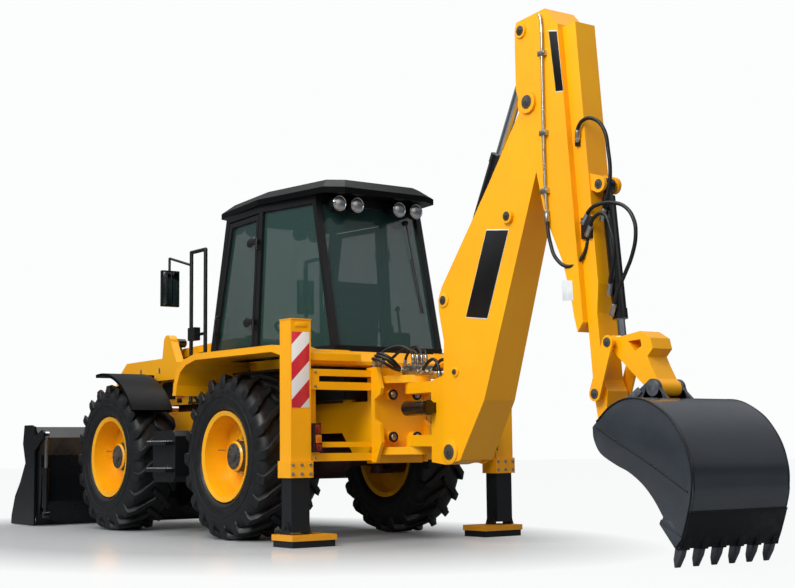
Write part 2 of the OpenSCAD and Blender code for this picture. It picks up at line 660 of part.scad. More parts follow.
// Backhoe carriage with its hooks over the cross rails
module carriage() {
  translate([0, shift_y, 0]) {
    rear = rail_x - 30 - slide_gap;
    box([rear - 40, -260, 640], [rear, 260, 1400]);
    // Upper and lower hooks
    for (z = [[1376 + slide_gap, 1400], [632, 655 - slide_gap]]) box([rear - 2, -250, z[0]], [frame_x + slide_gap + 18, 250, z[1]]);
    box([frame_x + slide_gap, -250, 1335], [frame_x + slide_gap + 18, 250, 1400]);
    box([frame_x + slide_gap, -250, 632], [frame_x + slide_gap + 18, 250, 700]);
    both() slab(232, 260) polygon([[rear - 38, 640], [rear - 60, 640], [rear - 140, 800], [rear - 120, 940], [rear - 46, 980], [rear - 46, 1140],
      [rear - 120, 1180], [rear - 140, 1230], [rear - 80, 1400], [rear - 38, 1400]]);
    // Slew lugs
    for (z = [700, 1270]) difference() {
      union() {
        translate([slew_x, 0, z]) cylinder(h = 60, r = 105);
        translate([0, 0, z]) linear_extrude(60) polygon([[rear - 38, -220], [rear - 38, 220], [slew_x - 20, 100], [slew_x - 20, -100]]);
      }
      translate([slew_x, 0, z - 1]) cylinder(h = 62, r = 50 + pin_gap);
    }
    for (y = [-120, 120], z = [840, 1180]) translate([rear - 100, y, z]) rotate([0, 90, 0]) cylinder(h = 62, r = 45);
  }
}
module kingpost() {
  w = 108;
  translate([0, shift_y, 0]) {
    difference() {
      union() {
        for (z = [762, 1180]) translate([slew_x, 0, z]) cylinder(h = 88, r = 100);
        for (z = [762, 1180]) translate([0, 0, z]) linear_extrude(88) polygon([[slew_x, -98], [slew_x, 98], [-1800, w], [-1800, -w]]);
        slab(-w, w) polygon([[-1780, 640], [-1960, 620], [-2080, 640], [-2140, 717], [-2080, 800], [-1990, 900],
          [-1990, 1120], [-2056, 1290], [-1960, 1310], [-1780, 1268]]);
        slab(-w, w) { translate(boom_pin) circle(85); translate(boom_ram_foot) circle(80); }
      }
      slab(-55, 55) translate(boom_ram_foot) circle(105);
      pin(boom_pin, 42 + pin_gap, -300, 300);
    }
    pin(boom_ram_foot, 35, -w + 2, w - 2);
    for (z = [696, 1178]) translate([slew_x, 0, z]) cylinder(h = 156, r = 50);
  }
}
module slew_rams() {
  translate([0, shift_y, 0]) both() {
    translate([-1845, 180, 1060]) rotate([0, 90, 0]) cylinder(h = 280, r = 60);
    box([-1845, 108 + seat_gap, 1020], [-1785, 150, 1100]);
  }
}

// Boom: an open channel whose sides follow the outline and narrow upwards
boom_side = [[-1985, 700], [-1985, 1300], [-1990, 1560], [-1925, 1800], [-1920, 1900], [-1960, 1985], [-2513, 2695],
  [-2905, 3235], [-3105, 3150], [-3050, 2700], [-2472, 1096], [-2190, 655], [-2070, 627]];
module boom_taper(inset) {
  low = 600;
  high = 3400;
  f = boom_foot_w - inset;
  t = boom_top_w - inset;
  translate([-3500, 0, 0]) rotate([90, 0, 90]) linear_extrude(1700) polygon([[-f, low], [f, low], [t, high], [-t, high]]);
}
module boom() {
  translate([0, shift_y, 0]) {
    difference() {
      intersection() {
        slab(-200, 200) {
          polygon(boom_side);
          translate(boom_pin) circle(90);
          translate(knuckle_pin) circle(112);
          translate(dipper_ram_foot) circle(72);
        }
        boom_taper(0);
      }
      // The channel, open to the front
      intersection() {
        slab(-200, 200) polygon([[-1800, 600], [-1800, 1985], [-2493, 2735], [-2860, 3060], [-2960, 2960],
          [-3000, 2690], [-2452, 1110], [-2170, 620], [-2100, 560]]);
        boom_taper(boom_t);
      }
      pin(knuckle_pin, 45 + pin_gap, -300, 300);
    }
    pin(boom_pin, 42, -boom_foot_w + 4, boom_foot_w - 4);
    both() pin(boom_ram_head, 52, 110, 150);
    pin(dipper_ram_foot, 35, -125, 125);
  }
}
boom_len = 1190;
dipper_len = 1190;
dipper_pin_y = dipper_w - dipper_t - 1;
bucket_len = 940;
module boom_barrel() { barrel(boom_ram_foot, boom_ram_head, shift_y, 68, 38, boom_len, 100, 35); }
module boom_rod() { ram_rod(boom_ram_foot, boom_ram_head, shift_y, 38, 265, 58, 120, [shift_y - 94, shift_y + 94]); }
module dipper_barrel() { barrel(dipper_ram_foot, dipper_ram_head, shift_y, 66, 36, dipper_len, 100, 35); }
module dipper_rod() { ram_rod(dipper_ram_foot, dipper_ram_head, shift_y, 36, 965, 56, 120, [shift_y - dipper_pin_y, shift_y + dipper_pin_y]); }

// The stick leans back from its top; s runs down it and t backwards from its rear face
stick_top = [-3340, 3736];
stick_lean = 5;
function on_stick(s, t) = stick_top + s * [-sin(stick_lean), -cos(stick_lean)] + t * [-cos(stick_lean), sin(stick_lean)];
dipper_side = [[-2880, 3790], [-2900, 3850], [-3210, 3880], on_stick(0, 0), on_stick(2150, 0), on_stick(2210, -60),
  [-3440, 1640], [-3413, 1783], [-3340, 2028], [-3166, 2384], [-3043, 2875], [-2882, 3349]];
module dipper() {
  translate([0, shift_y, 0]) {
    difference() {
      union() {
        slab(-dipper_w, dipper_w) {
          polygon(dipper_side);
          translate(knuckle_pin) circle(120);
        }
        both() pin(knuckle_pin, 82, dipper_w - 1, dipper_w + 22);
      }
      // Room for the end of the boom between the side plates
      slab(-dipper_w + dipper_t, dipper_w - dipper_t) {
        translate(knuckle_pin) circle(150);
        polygon([[-2700, 3950], [-3130, 3950], [-3160, 3700], [-3180, 3300], [-3200, 3000], [-3230, 2400], [-3180, 2300],
          [-2700, 2300]]);
      }
    }
    pin(knuckle_pin, 45, -dipper_w + 2, dipper_w - 2);
    both() pin(dipper_ram_head, 55, dipper_w - 2, dipper_w + 14);
  }
}
// Sliding stick behind the fixed one
stick_w = 95;
stick_d = 130;
module slider() {
  g = slide_gap;
  translate([0, shift_y, 0]) {
    difference() {
      union() {
        slab(-stick_w, stick_w) {
          polygon([on_stick(20, g), on_stick(20, g + stick_d), on_stick(1900, g + stick_d), on_stick(2100, g + 96),
            on_stick(2560, g + 96), on_stick(2640, g + stick_d), on_stick(2850, g + 90), on_stick(2850, g + 20),
            on_stick(2650, g)]);
          translate(bucket_pin) circle(72);
        }
        // Ears for the bucket ram
        both() slab(58, 82) plate(bucket_ram_foot, on_stick(1150, g + 60), 58, 50);
      }
      pin(bucket_pin, 32 + pin_gap, -300, 300);
      pin(lever_pin, 30 + pin_gap, -300, 300);
    }
    pin(bucket_ram_foot, 30, -60, 60);
  }
}
ear_in = stick_w + 5;
ear_t = 26;
lever_in = ear_in + ear_t + 6;
lever_t = 18;
module bucket_barrel() { barrel(bucket_ram_foot, lever_head, shift_y, 48, 30, bucket_len, 74, 30); }
module bucket_rod() { ram_rod(bucket_ram_foot, lever_head, shift_y, 30, 192, 44, 64, [shift_y - 34, shift_y + 34]); }
module lever() {
  translate([0, shift_y, 0]) {
    both() slab(lever_in, lever_in + lever_t) plate(lever_pin, lever_head, 52, 48);
    pin(lever_pin, 30, -lever_in - 2, lever_in + 2);
    both() pin(lever_head, 28, 38, lever_in + 2);
  }
}
// Tipping link, with its lifting hook
module link() {
  translate([0, shift_y, 0]) difference() {
    union() {
      slab(-92, 92) plate(lever_head, link_pin, 48, 54);
      slab(-92, 92) polygon([lever_head + [-26, 30], [-4010, 1500], [-4100, 1450], [-4120, 1380], [-4070, 1330],
        [-4100, 1270], link_pin + [-30, 28], link_pin + [16, -14], lever_head + [14, -16]]);
    }
    slab(-100, 100) polygon([[-3900, 1440], [-4010, 1446], [-4020, 1400], [-3960, 1370]]);
    pin(lever_head, 28 + pin_gap, -300, 300);
    slab(-38, 38) plate(lever_head, (lever_head + link_pin) / 2, 90, 70);
  }
}
bucket_shell = [[-3910, 871], [-4090, 1010], [-4273, 1050], [-4480, 990], [-4650, 845], [-4742, 640], [bucket_back, 470],
  [-4700, 300], [-4630, 130]];
module bucket() {
  w = bucket_w / 2;
  edge = [[-4600, 130], [-4495, 267], [-4339, 537], [-4039, 691], [-3925, 850]];
  translate([0, shift_y, 0]) {
    difference() {
      slab(-w, w) polygon(concat(bucket_shell, edge));
      slab(-w + 18, w - 18) polygon([[-3900, 840], [-4100, 985], [-4273, 1026], [-4465, 970], [-4628, 832], [-4716, 635],
        [-4721, 475], [-4678, 310], [-4600, 120], [-4300, 100], [-3700, 600]]);
    }
    // Lip with its six teeth
    slab(-w, w) polygon([[-4630, 130], [-4600, 130], [-4588, 150], [-4648, 180]]);
    for (k = [0:5]) translate([0, -w + 40 + k * (bucket_w - 80) / 5, 0])
      slab(-32, 32) polygon([[-4660, 190], [-4590, 190], [-4560, 60], [-4566, 12], [-4578, 12], [-4620, 80]]);
    // Ears for the stick and the link
    both() slab(ear_in, ear_in + ear_t) {
        plate(bucket_pin, [-3960, 880], 74, 60);
        plate(link_pin, [-4140, 1010], 60, 110);
        polygon([[-3720, 920], [-4120, 1180], [-4300, 1020], [-4000, 860], [-3920, 850]]);
    }
    pin(bucket_pin, 32, -ear_in - 4, ear_in + 4);
    both() pin(link_pin, 40, ear_in + ear_t - 2, ear_in + ear_t + 4);
  }
}

color("#F0B429") place() chassis_frame();
color("#4A2E22") place() powertrain();
color("#4A2E22") place() axles();
color("#FFC814") place() stabiliser_frame();
color("#1E2024") place() side_tanks();
color("#1E2024") place() cab_frame();
color("#1E2024") place() cab_roof();
color("#8FB0AC") place() cab_glass();
color("#2A2C30") place() cab_interior();
color("#FFC814") place() rear_fenders();
color("#1E2024") place() handrails();
color("#C9CDD0") place() lamps();
color("#1A1B1D") wheel_at(true, 1) tyre();  // tyre_front_left
color("#1A1B1D") wheel_at(true, -1) tyre();  // tyre_front_right
color("#1A1B1D") wheel_at(false, 1) tyre();  // tyre_rear_left
color("#1A1B1D") wheel_at(false, -1) tyre();  // tyre_rear_right
color("#F5A01A") wheel_at(true, 1) rim();  // rim_front_left
color("#F5A01A") wheel_at(true, -1) rim();  // rim_front_right
color("#F5A01A") wheel_at(false, 1) rim();  // rim_rear_left
color("#F5A01A") wheel_at(false, -1) rim();  // rim_rear_right
color("#4A2E22") wheel_at(true, 1) knuckle();  // knuckle_front_left
color("#4A2E22") wheel_at(true, -1) knuckle();  // knuckle_front_right
color("#4A2E22") wheel_at(false, 1) knuckle();  // knuckle_rear_left
color("#4A2E22") wheel_at(false, -1) knuckle();  // knuckle_rear_right
color("#1E2024") wheel_at(true, 1) front_fender();  // front_fender_left
color("#1E2024") wheel_at(true, -1) front_fender();  // front_fender_right
color("#1E2024") place() at_side(1) door();  // door_left
color("#1E2024") place() at_side(-1) door();  // door_right
color("#8FB0AC") place() at_side(1) door_glass();  // door_glass_left
color("#8FB0AC") place() at_side(-1) door_glass();  // door_glass_right
color("#FFC814") place() hood();
color("#FFC814") place() loader_arms();
color("#25282C") place() shovel();
color("#25282C") place() clam();
color("#1E2024") place() lift_barrels();
color("#C9CDD0") place() lift_rods();
color("#1E2024") place() tilt_barrels();
color("#C9CDD0") place() tilt_rods();
color("#1E2024") place() clam_barrels();
color("#C9CDD0") place() clam_rods();
color("#2B3238") place() at_side(1) stabiliser_leg();  // stabiliser_leg_left
color("#2B3238") place() at_side(-1) stabiliser_leg();  // stabiliser_leg_right
color("#FFC814") place() carriage();
color("#FFC814") place() kingpost();
color("#1E2024") place() slew_rams();
color("#FFC814") place() boom();
color("#1E2024") place() boom_barrel();
color("#C9CDD0") place() boom_rod();
color("#1E2024") place() dipper_barrel();
color("#C9CDD0") place() dipper_rod();
color("#FFC814") place() dipper();
color("#FFC814") place() slider();
color("#1E2024") place() bucket_barrel();
color("#C9CDD0") place() bucket_rod();
color("#FFC814") place() lever();
color("#FFC814") place() link();
color("#2A2E35") place() bucket();
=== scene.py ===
# Backhoe loader: paint, fittings, hoses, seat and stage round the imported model.
# Stations are taken from the rear axle, as in the part's source, and at() moves them to the model's middle.
import json
import math

import bpy
from mathutils import Matrix, Vector


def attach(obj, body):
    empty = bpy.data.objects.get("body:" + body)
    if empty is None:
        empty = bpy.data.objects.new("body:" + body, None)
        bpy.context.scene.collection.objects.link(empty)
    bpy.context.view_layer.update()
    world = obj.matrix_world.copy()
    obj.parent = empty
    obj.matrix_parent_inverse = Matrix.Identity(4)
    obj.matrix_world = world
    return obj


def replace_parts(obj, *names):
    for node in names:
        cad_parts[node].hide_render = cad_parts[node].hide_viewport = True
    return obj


bl_info = {
    "name": "Backhoe loader dress",
    "version": (1, 0, 0),
    "blender": (4, 5, 0),
    "location": "3D View > Sidebar > Loader",
    "description": "Paints the packed backhoe loader and adds its fittings, hoses and stage",
    "category": "Object",
}

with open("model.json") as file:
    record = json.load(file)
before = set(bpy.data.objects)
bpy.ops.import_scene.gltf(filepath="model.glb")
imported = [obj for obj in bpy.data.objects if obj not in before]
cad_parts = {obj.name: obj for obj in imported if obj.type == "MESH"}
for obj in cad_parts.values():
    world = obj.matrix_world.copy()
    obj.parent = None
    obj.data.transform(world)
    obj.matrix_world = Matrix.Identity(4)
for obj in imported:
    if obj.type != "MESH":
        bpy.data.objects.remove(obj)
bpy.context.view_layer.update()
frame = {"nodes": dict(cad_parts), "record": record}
finishes = {}

REAR_AXLE = 0.300
WHEEL_STATIONS = {"rear": 0.0, "front": 2.220}
WHEEL_Y = 0.830
AXLE_Z = 0.697
HOE_Y = 0.090
SIDES = {"left": 1, "right": -1}
BACK = Vector((-1, 0, 0))
AHEAD = Vector((1, 0, 0))
UP = Vector((0, 0, 1))


def at(x, y, z):
    """A point of the machine in the model's frame."""
    return Vector((x + REAR_AXLE, y, z))


# Materials


def linear(code):
    """Turns an sRGB hex value to a linear colour."""
    parts = [int(code[k : k + 2], 16) / 255 for k in (1, 3, 5)]
    return tuple(c / 12.92 if c <= 0.04045 else ((c + 0.055) / 1.055) ** 2.4 for c in parts) + (1.0,)


def add(tree, kind, inputs=None, **settings):
    """Adds a node with its settings, and inputs that are values, sockets or nodes' first outputs."""
    node = tree.nodes.new("ShaderNode" + kind)
    for key, value in settings.items():
        setattr(node, key, value)
    for key, value in (inputs or {}).items():
        if isinstance(value, bpy.types.Node):
            value = value.outputs[0]
        if isinstance(value, bpy.types.NodeSocket):
            tree.links.new(value, node.inputs[key])
        else:
            node.inputs[key].default_value = value
    return node


def blank(name):
    """Starts a finish and gives its empty node tree."""
    material = bpy.data.materials.new(name)
    material.use_nodes = True
    material.node_tree.nodes.clear()
    finishes[name] = material
    return material.node_tree


def close(tree, shader):
    """Ends a finish in its shader."""
    add(tree, "OutputMaterial", {"Surface": shader})


def axis_of(tree, name):
    """One coordinate of the surface's place on its piece."""
    place = add(tree, "TexCoord").outputs["Object"]
    return add(tree, "SeparateXYZ", {"Vector": place}).outputs[name]


def grain(tree, size_mm, detail=3.0, stretch=(1.0, 1.0, 1.0)):
    """Noise on object coordinates whose blobs are size_mm across."""
    place = add(tree, "TexCoord").outputs["Object"]
    scaled = add(tree, "Mapping", {"Vector": place, "Scale": stretch})
    noise = {"Vector": scaled, "Scale": 1000.0 / size_mm, "Detail": detail, "Roughness": 0.55}
    return add(tree, "TexNoise", noise).outputs["Fac"]


def between(tree, pattern, low, high, start=0.35, stop=0.65):
    """Spreads a pattern's values from start to stop over low to high."""
    spans = {"From Min": start, "From Max": stop, "To Min": low, "To Max": high}
    return add(tree, "MapRange", {"Value": pattern, **spans}).outputs["Result"]


MIX_FIRST, MIX_SECOND, MIX_RESULT = 6, 7, 2


def two_tone(tree, pattern, first, second, start=0.35, stop=0.65, most=1.0):
    """Runs from the first tone to most of the second as a pattern goes from start to stop."""
    share = between(tree, pattern, 0.0, most, start, stop)
    tones = [linear(tone) if isinstance(tone, str) else tone for tone in (first, second)]
    mix = {"Factor": share, MIX_FIRST: tones[0], MIX_SECOND: tones[1]}
    return add(tree, "Mix", mix, data_type="RGBA").outputs[MIX_RESULT]


def edge_at(place, width=0.0005):
    """The start and stop of a sharp change at a place."""
    return place - width, place + width


def coated(name, tones, rough, sizes_mm, relief, metallic=0.0, coat=0.0, gloss=0.5, stretch=(1, 1, 1)):
    """A paint, plastic, rubber or metal whose tones and roughness vary in patches, over a fine relief.

    rough holds the least and the greatest roughness, sizes_mm the patches' and the relief's blobs.
    """
    tree = blank(name)
    patches = grain(tree, sizes_mm[0], 4.0, stretch)
    colour = two_tone(tree, patches, *tones)
    fine = grain(tree, sizes_mm[1], 2.0, stretch)
    look = {
        "Base Color": colour,
        "Roughness": between(tree, patches, *rough),
        "Metallic": metallic,
        "Specular IOR Level": gloss,
        "Coat Weight": coat,
        "Coat Roughness": 0.08,
        "Normal": add(tree, "Bump", {"Height": fine, "Strength": relief, "Distance": 0.002}),
    }
    close(tree, add(tree, "BsdfPrincipled", look))


def make_finishes(paint):
    """Every finish of the machine."""
    # Two-pack gloss enamel on steel: an even, wet shine with a faint orange peel
    coated("yellow_enamel", (paint.yellow_high, paint.yellow_low), (0.3, 0.38), (900, 9), 0.05, coat=0.2)
    # Enamel on rims takes the same coat with brake dust in patches
    coated("rim_enamel", ("#FFB90E", "#F9AC08"), (0.28, 0.4), (260, 9), 0.06, coat=0.3)
    # Satin black powder coat, fine leather-like texture
    coated("black_powder_coat", ("#101113", "#090A0B"), (0.36, 0.48), (300, 5), 0.12)
    # Gloss black of the rams' barrels
    coated("black_enamel", ("#0B0C0D", "#060607"), (0.2, 0.28), (400, 8), 0.05, coat=0.4)
    # Charcoal enamel on thick bucket plate: broad soft tone changes and a deep gloss
    bucket = {"coat": 0.6, "stretch": (1, 0.35, 1)}
    coated("bucket_enamel", ("#3A4047", "#2B3036"), (0.2, 0.3), (520, 12), 0.06, **bucket)
    # Near-black enamel on the shovel's plates
    coated("shovel_enamel", ("#0D0F12", "#07090B"), (0.26, 0.36), (520, 12), 0.06, coat=0.2, gloss=0.3)
    # Weathered hardfaced steel on edges and teeth
    coated("wear_steel", ("#0E0F11", "#1A1B1E"), (0.4, 0.6), (60, 6), 0.3, metallic=0.4)
    # Oxide-brown primer on axles
    coated("axle_primer", ("#4B2A1F", "#35211B"), (0.5, 0.7), (200, 10), 0.2)
    # Cast iron under oily paint
    coated("engine_iron", ("#3A2820", "#241C19"), (0.55, 0.75), (160, 8), 0.35)
    # Hard chrome on rods, ground along its length
    coated("hard_chrome", ("#D9DCDE", "#C4C8CB"), (0.1, 0.16), (120, 4), 0.02, metallic=1.0)
    # Bright zinc on bolts, pipes and couplings
    coated("zinc_plate", ("#C9C6BB", "#A9A79F"), (0.24, 0.38), (50, 4), 0.1, metallic=1.0)
    # Checked aluminium on the steps
    coated("step_aluminium", ("#C6C9CC", "#9DA1A5"), (0.34, 0.48), (30, 5), 0.4, metallic=1.0)
    # Grey cast hub with oil film
    coated("hub_iron", ("#4C4A47", "#35332F"), (0.42, 0.6), (90, 6), 0.3)
    # Bare cast steel of the hitch, dull with brighter rubbed patches
    coated("cast_steel", ("#7C8084", "#54585C"), (0.3, 0.5), (40, 6), 0.35, metallic=0.6)
    # Black moulding of the roof's skin, front fenders and mirror backs
    coated("roof_moulding", ("#08090A", "#050506"), (0.34, 0.44), (500, 4), 0.15, gloss=0.12)
    # Dark grey moulding inside the cab, soft and matt
    coated("cab_moulding", ("#202225", "#18191B"), (0.55, 0.65), (300, 3), 0.2)
    # Hose cover: synthetic rubber with the mark of its wrapping
    coated("hose_rubber", ("#0A0B0C", "#060607"), (0.42, 0.54), (80, 3), 0.3)
    # Silvered mirror glass
    coated("mirror_glass", ("#AEB6BA", "#A2AAAE"), (0.03, 0.05), (400, 30), 0.0, metallic=1.0)
    # Clear lamp glass over a bright reflector, pressed in small prisms
    coated("lamp_glass", ("#E8ECEE", "#C4CACE"), (0.06, 0.11), (14, 5), 0.35, metallic=0.85)
    # Moulded acrylic lenses, ribbed inside
    coated("red_lens", ("#7E0C14", "#5E080F"), (0.12, 0.18), (30, 6), 0.25, coat=0.5)
    coated("amber_lens", ("#D9780F", "#B9600A"), (0.12, 0.18), (30, 6), 0.25, coat=0.5)
    # Black moulded housing of the lamps
    coated("lamp_housing", ("#0F1012", "#08090A"), (0.4, 0.5), (120, 4), 0.15)
    # Glossy black film of the blank plates
    coated("plate_black", ("#0C0C0D", "#070708"), (0.3, 0.4), (120, 5), 0.05)
    # Glossy white film of the plates' rims and the bare label
    coated("label_white", ("#E6E7E6", "#D9DAD9"), (0.28, 0.36), (60, 6), 0.03)
    seat_fabric()
    tyre_rubber()
    leg_enamel()
    cab_glass()
    hazard_film()
    swoosh_film()


def seat_fabric():
    """Seat cloth: a plain weave with 2.4 mm threads, drawn at 6 mm so that it shows."""
    tree = blank("seat_fabric")
    pitch = 0.006
    waves = []
    for axis in ("X", "Y"):
        turns = add(tree, "Math", {0: axis_of(tree, axis), 1: 2 * math.pi / pitch}, operation="MULTIPLY")
        waves.append(add(tree, "Math", {0: turns}, operation="SINE"))
    weave = add(tree, "Math", {0: waves[0], 1: waves[1]}, operation="MULTIPLY")
    look = {
        "Base Color": two_tone(tree, weave.outputs[0], "#2A2C30", "#3C3F45", -1.0, 1.0),
        "Roughness": 0.85,
        "Sheen Weight": 0.3,
        "Normal": add(tree, "Bump", {"Height": weave, "Strength": 0.3, "Distance": 0.001}),
    }
    close(tree, add(tree, "BsdfPrincipled", look))


def tyre_rubber():
    """Carbon-black rubber: matt, a little dusty in patches."""
    tree = blank("tyre_rubber")
    patches = grain(tree, 70, 4.0)
    look = {
        "Base Color": two_tone(tree, patches, "#0A0B0C", "#141517", 0.4, 0.7),
        "Roughness": between(tree, patches, 0.4, 0.6),
        "Normal": add(tree, "Bump", {"Height": grain(tree, 7, 3.0), "Strength": 0.25, "Distance": 0.002}),
    }
    close(tree, add(tree, "BsdfPrincipled", look))


def leg_enamel():
    """Slate enamel on the leg, yellow on its foot and black rubber under it."""
    tree = blank("leg_enamel")
    foot_top, pad_top = 0.097, 0.051
    height = axis_of(tree, "Z")
    patches = grain(tree, 260, 3.0)
    slate = two_tone(tree, patches, "#171B1F", "#101316")
    foot = two_tone(tree, height, "#F0A21A", slate, *edge_at(foot_top))
    look = {
        "Base Color": two_tone(tree, height, "#16171A", foot, *edge_at(pad_top)),
        "Roughness": between(tree, patches, 0.28, 0.42),
        "Normal": add(tree, "Bump", {"Height": grain(tree, 8, 2.0), "Strength": 0.1, "Distance": 0.002}),
    }
    close(tree, add(tree, "BsdfPrincipled", look))


def cab_glass():
    """Toughened glass with a grey-green tint: sharp gloss over a see-through body."""
    tree = blank("cab_glass")
    look = {
        "Base Color": linear("#2C4A45"),
        "Roughness": 0.04,
        "Alpha": 0.54,
        "Coat Weight": 1.0,
        "Coat Roughness": 0.02,
        "Normal": add(tree, "Bump", {"Height": grain(tree, 900, 1.0), "Strength": 0.03, "Distance": 0.01}),
    }
    close(tree, add(tree, "BsdfPrincipled", look))


def hazard_film():
    """Reflective film in red and white bars at 45 degrees, each 100 mm wide across the film."""
    tree = blank("hazard_film")
    start, pitch = 0.03, 0.285
    sideways = add(tree, "Math", {0: axis_of(tree, "Y")}, operation="ABSOLUTE")
    slant = add(tree, "Math", {0: sideways, 1: axis_of(tree, "Z")}, operation="ADD")
    moved = add(tree, "Math", {0: slant, 1: start}, operation="ADD")
    counted = add(tree, "Math", {0: moved, 1: 1 / pitch}, operation="MULTIPLY")
    bars = add(tree, "Math", {0: counted}, operation="FRACT").outputs[0]
    look = {
        "Base Color": two_tone(tree, bars, "#EDEDEC", "#D0203A", *edge_at(0.5, 0.004)),
        "Roughness": between(tree, grain(tree, 5, 1.0), 0.25, 0.4),
        "Coat Weight": 0.5,
    }
    close(tree, add(tree, "BsdfPrincipled", look))


def swoosh_film():
    """Printed film that runs from red at the rear to orange at the front."""
    tree = blank("swoosh_film")
    rear, front = 1.85, 2.5
    streaks = grain(tree, 60, 2.0, (0.3, 1, 3))
    deep = two_tone(tree, axis_of(tree, "X"), "#B3271D", "#D5611F", rear, front)
    look = {
        "Base Color": two_tone(tree, streaks, deep, "#E8902A", most=0.5),
        "Roughness": between(tree, streaks, 0.25, 0.35),
    }
    close(tree, add(tree, "BsdfPrincipled", look))


# Modelling


def deselect():
    """Leaves edit mode and clears the selection."""
    if bpy.context.object and bpy.context.object.mode != "OBJECT":
        bpy.ops.object.mode_set(mode="OBJECT")
    bpy.ops.object.select_all(action="DESELECT")


def only(piece):
    """Selects one piece and makes it active."""
    deselect()
    piece.select_set(True)
    bpy.context.view_layer.objects.active = piece


def settled(piece, name):
    """Puts the piece's place in its mesh and names it."""
    only(piece)
    bpy.ops.object.transform_apply(location=True, rotation=True, scale=True)
    piece.name = name
    piece.data.name = name
    return piece


def softened(piece, width, segments=2):
    """Rounds the edges of a piece."""
    only(piece)
    bevel = piece.modifiers.new("round", "BEVEL")
    bevel.width = width
    bevel.segments = segments
    bevel.limit_method = "ANGLE"
    bevel.angle_limit = math.radians(40)
    bpy.ops.object.modifier_apply(modifier=bevel.name)
    return piece


def turned(p, q, radius, sides=28, round_=0.002):
    """A turned bar from p to q with rounded ends."""
    p, q = Vector(p), Vector(q)
    way = q - p
    middle = (p + q) / 2
    deselect()
    bpy.ops.mesh.primitive_cylinder_add(vertices=sides, radius=radius, depth=way.length, location=middle)
    piece = bpy.context.object
    piece.rotation_euler = way.to_track_quat("Z", "Y").to_euler()
    settled(piece, "turned")
    return softened(piece, round_) if round_ else piece


def cross_bar(x, z, low, high, radius, sides, round_):
    """A turned bar across the backhoe, from low to high off its middle."""
    return turned(at(x, HOE_Y + low, z), at(x, HOE_Y + high, z), radius, sides, round_)


def block(low, high, round_=0.003):
    """A plate or block between two corners with rounded edges."""
    low, high = Vector(low), Vector(high)
    deselect()
    bpy.ops.mesh.primitive_cube_add(size=1, location=(low + high) / 2)
    piece = bpy.context.object
    piece.scale = [abs(high[k] - low[k]) for k in range(3)]
    settled(piece, "block")
    return softened(piece, round_) if round_ else piece


def cut_plate(points, thickness, normal, round_=0.0015):
    """A flat plate cut to an outline of points in space, thickened along its normal."""
    deselect()
    bpy.ops.mesh.primitive_circle_add(vertices=len(points), radius=0.1, fill_type="NGON")
    piece = bpy.context.object
    for vertex, point in zip(piece.data.vertices, points):
        vertex.co = point
    only(piece)
    bpy.ops.object.mode_set(mode="EDIT")
    bpy.ops.mesh.select_all(action="SELECT")
    bpy.ops.mesh.extrude_region_move(TRANSFORM_OT_translate={"value": Vector(normal) * thickness})
    bpy.ops.mesh.select_all(action="SELECT")
    bpy.ops.mesh.normals_make_consistent(inside=False)
    bpy.ops.object.mode_set(mode="OBJECT")
    settled(piece, "plate")
    return softened(piece, round_) if round_ else piece


def side_plate(outline, y, thickness, s, round_):
    """A plate of an outline in X and Z, thickened from y towards the side s."""
    return cut_plate([at(p[0], y, p[1]) for p in outline], thickness, (0, s, 0), round_)


def across(outline, low, high, round_=0.002):
    """A plate of an outline in X and Z, from low to high off the backhoe's middle."""
    return side_plate(outline, HOE_Y + low, high - low, 1, round_)


def ring(centre, axis, radius, thick, sides=40):
    """A round bead about an axis."""
    deselect()
    bpy.ops.mesh.primitive_torus_add(
        major_radius=radius, minor_radius=thick, major_segments=sides, minor_segments=10, location=centre
    )
    piece = bpy.context.object
    piece.rotation_euler = Vector(axis).to_track_quat("Z", "Y").to_euler()
    return settled(piece, "ring")


def dome(centre, axis, radius, rise, sides=32):
    """A shallow round cap that swells by rise along its axis."""
    deselect()
    bpy.ops.mesh.primitive_uv_sphere_add(segments=sides, ring_count=12, radius=radius)
    piece = bpy.context.object
    bpy.ops.object.mode_set(mode="EDIT")
    bpy.ops.mesh.select_all(action="SELECT")
    bpy.ops.mesh.bisect(plane_co=(0, 0, 0), plane_no=(0, 0, 1), use_fill=True, clear_inner=True)
    bpy.ops.object.mode_set(mode="OBJECT")
    piece.scale = (1, 1, rise / radius)
    piece.rotation_euler = Vector(axis).to_track_quat("Z", "Y").to_euler()
    piece.location = centre
    return settled(piece, "dome")


def hex_bolt(seat, axis, size):
    """A hexagon head on its washer. size is half of the head's width across corners."""
    axis = Vector(axis).normalized()
    seat = Vector(seat)
    head = turned(seat, seat + axis * size * 0.9, size, 6, size * 0.08)
    washer = turned(seat - axis * 0.001, seat + axis * size * 0.22, size * 1.35, 20, size * 0.05)
    return united([head, washer])


def united(parts):
    """Joins pieces into the first."""
    deselect()
    for part in parts:
        part.select_set(True)
    bpy.context.view_layer.objects.active = parts[0]
    if len(parts) > 1:
        bpy.ops.object.join()
    return bpy.context.object


def copied(piece, transform):
    """A twin of a piece with a mesh of its own, moved or mirrored."""
    twin = piece.copy()
    twin.data = piece.data.copy()
    bpy.context.scene.collection.objects.link(twin)
    twin.data.transform(transform)
    if transform.determinant() < 0:
        twin.data.flip_normals()
    return twin


def dressed(made, name, body, finish, smooth=38):
    """Makes one piece of what was made, names it, gives it its finish and smooth faces, and lets it ride."""
    piece = united(made) if isinstance(made, list) else made
    piece.name = name
    piece.data.name = name
    only(piece)
    if piece.type == "MESH":
        bpy.ops.object.shade_smooth_by_angle(angle=math.radians(smooth))
    piece.data.materials.clear()
    piece.data.materials.append(finishes[finish])
    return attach(piece, body)


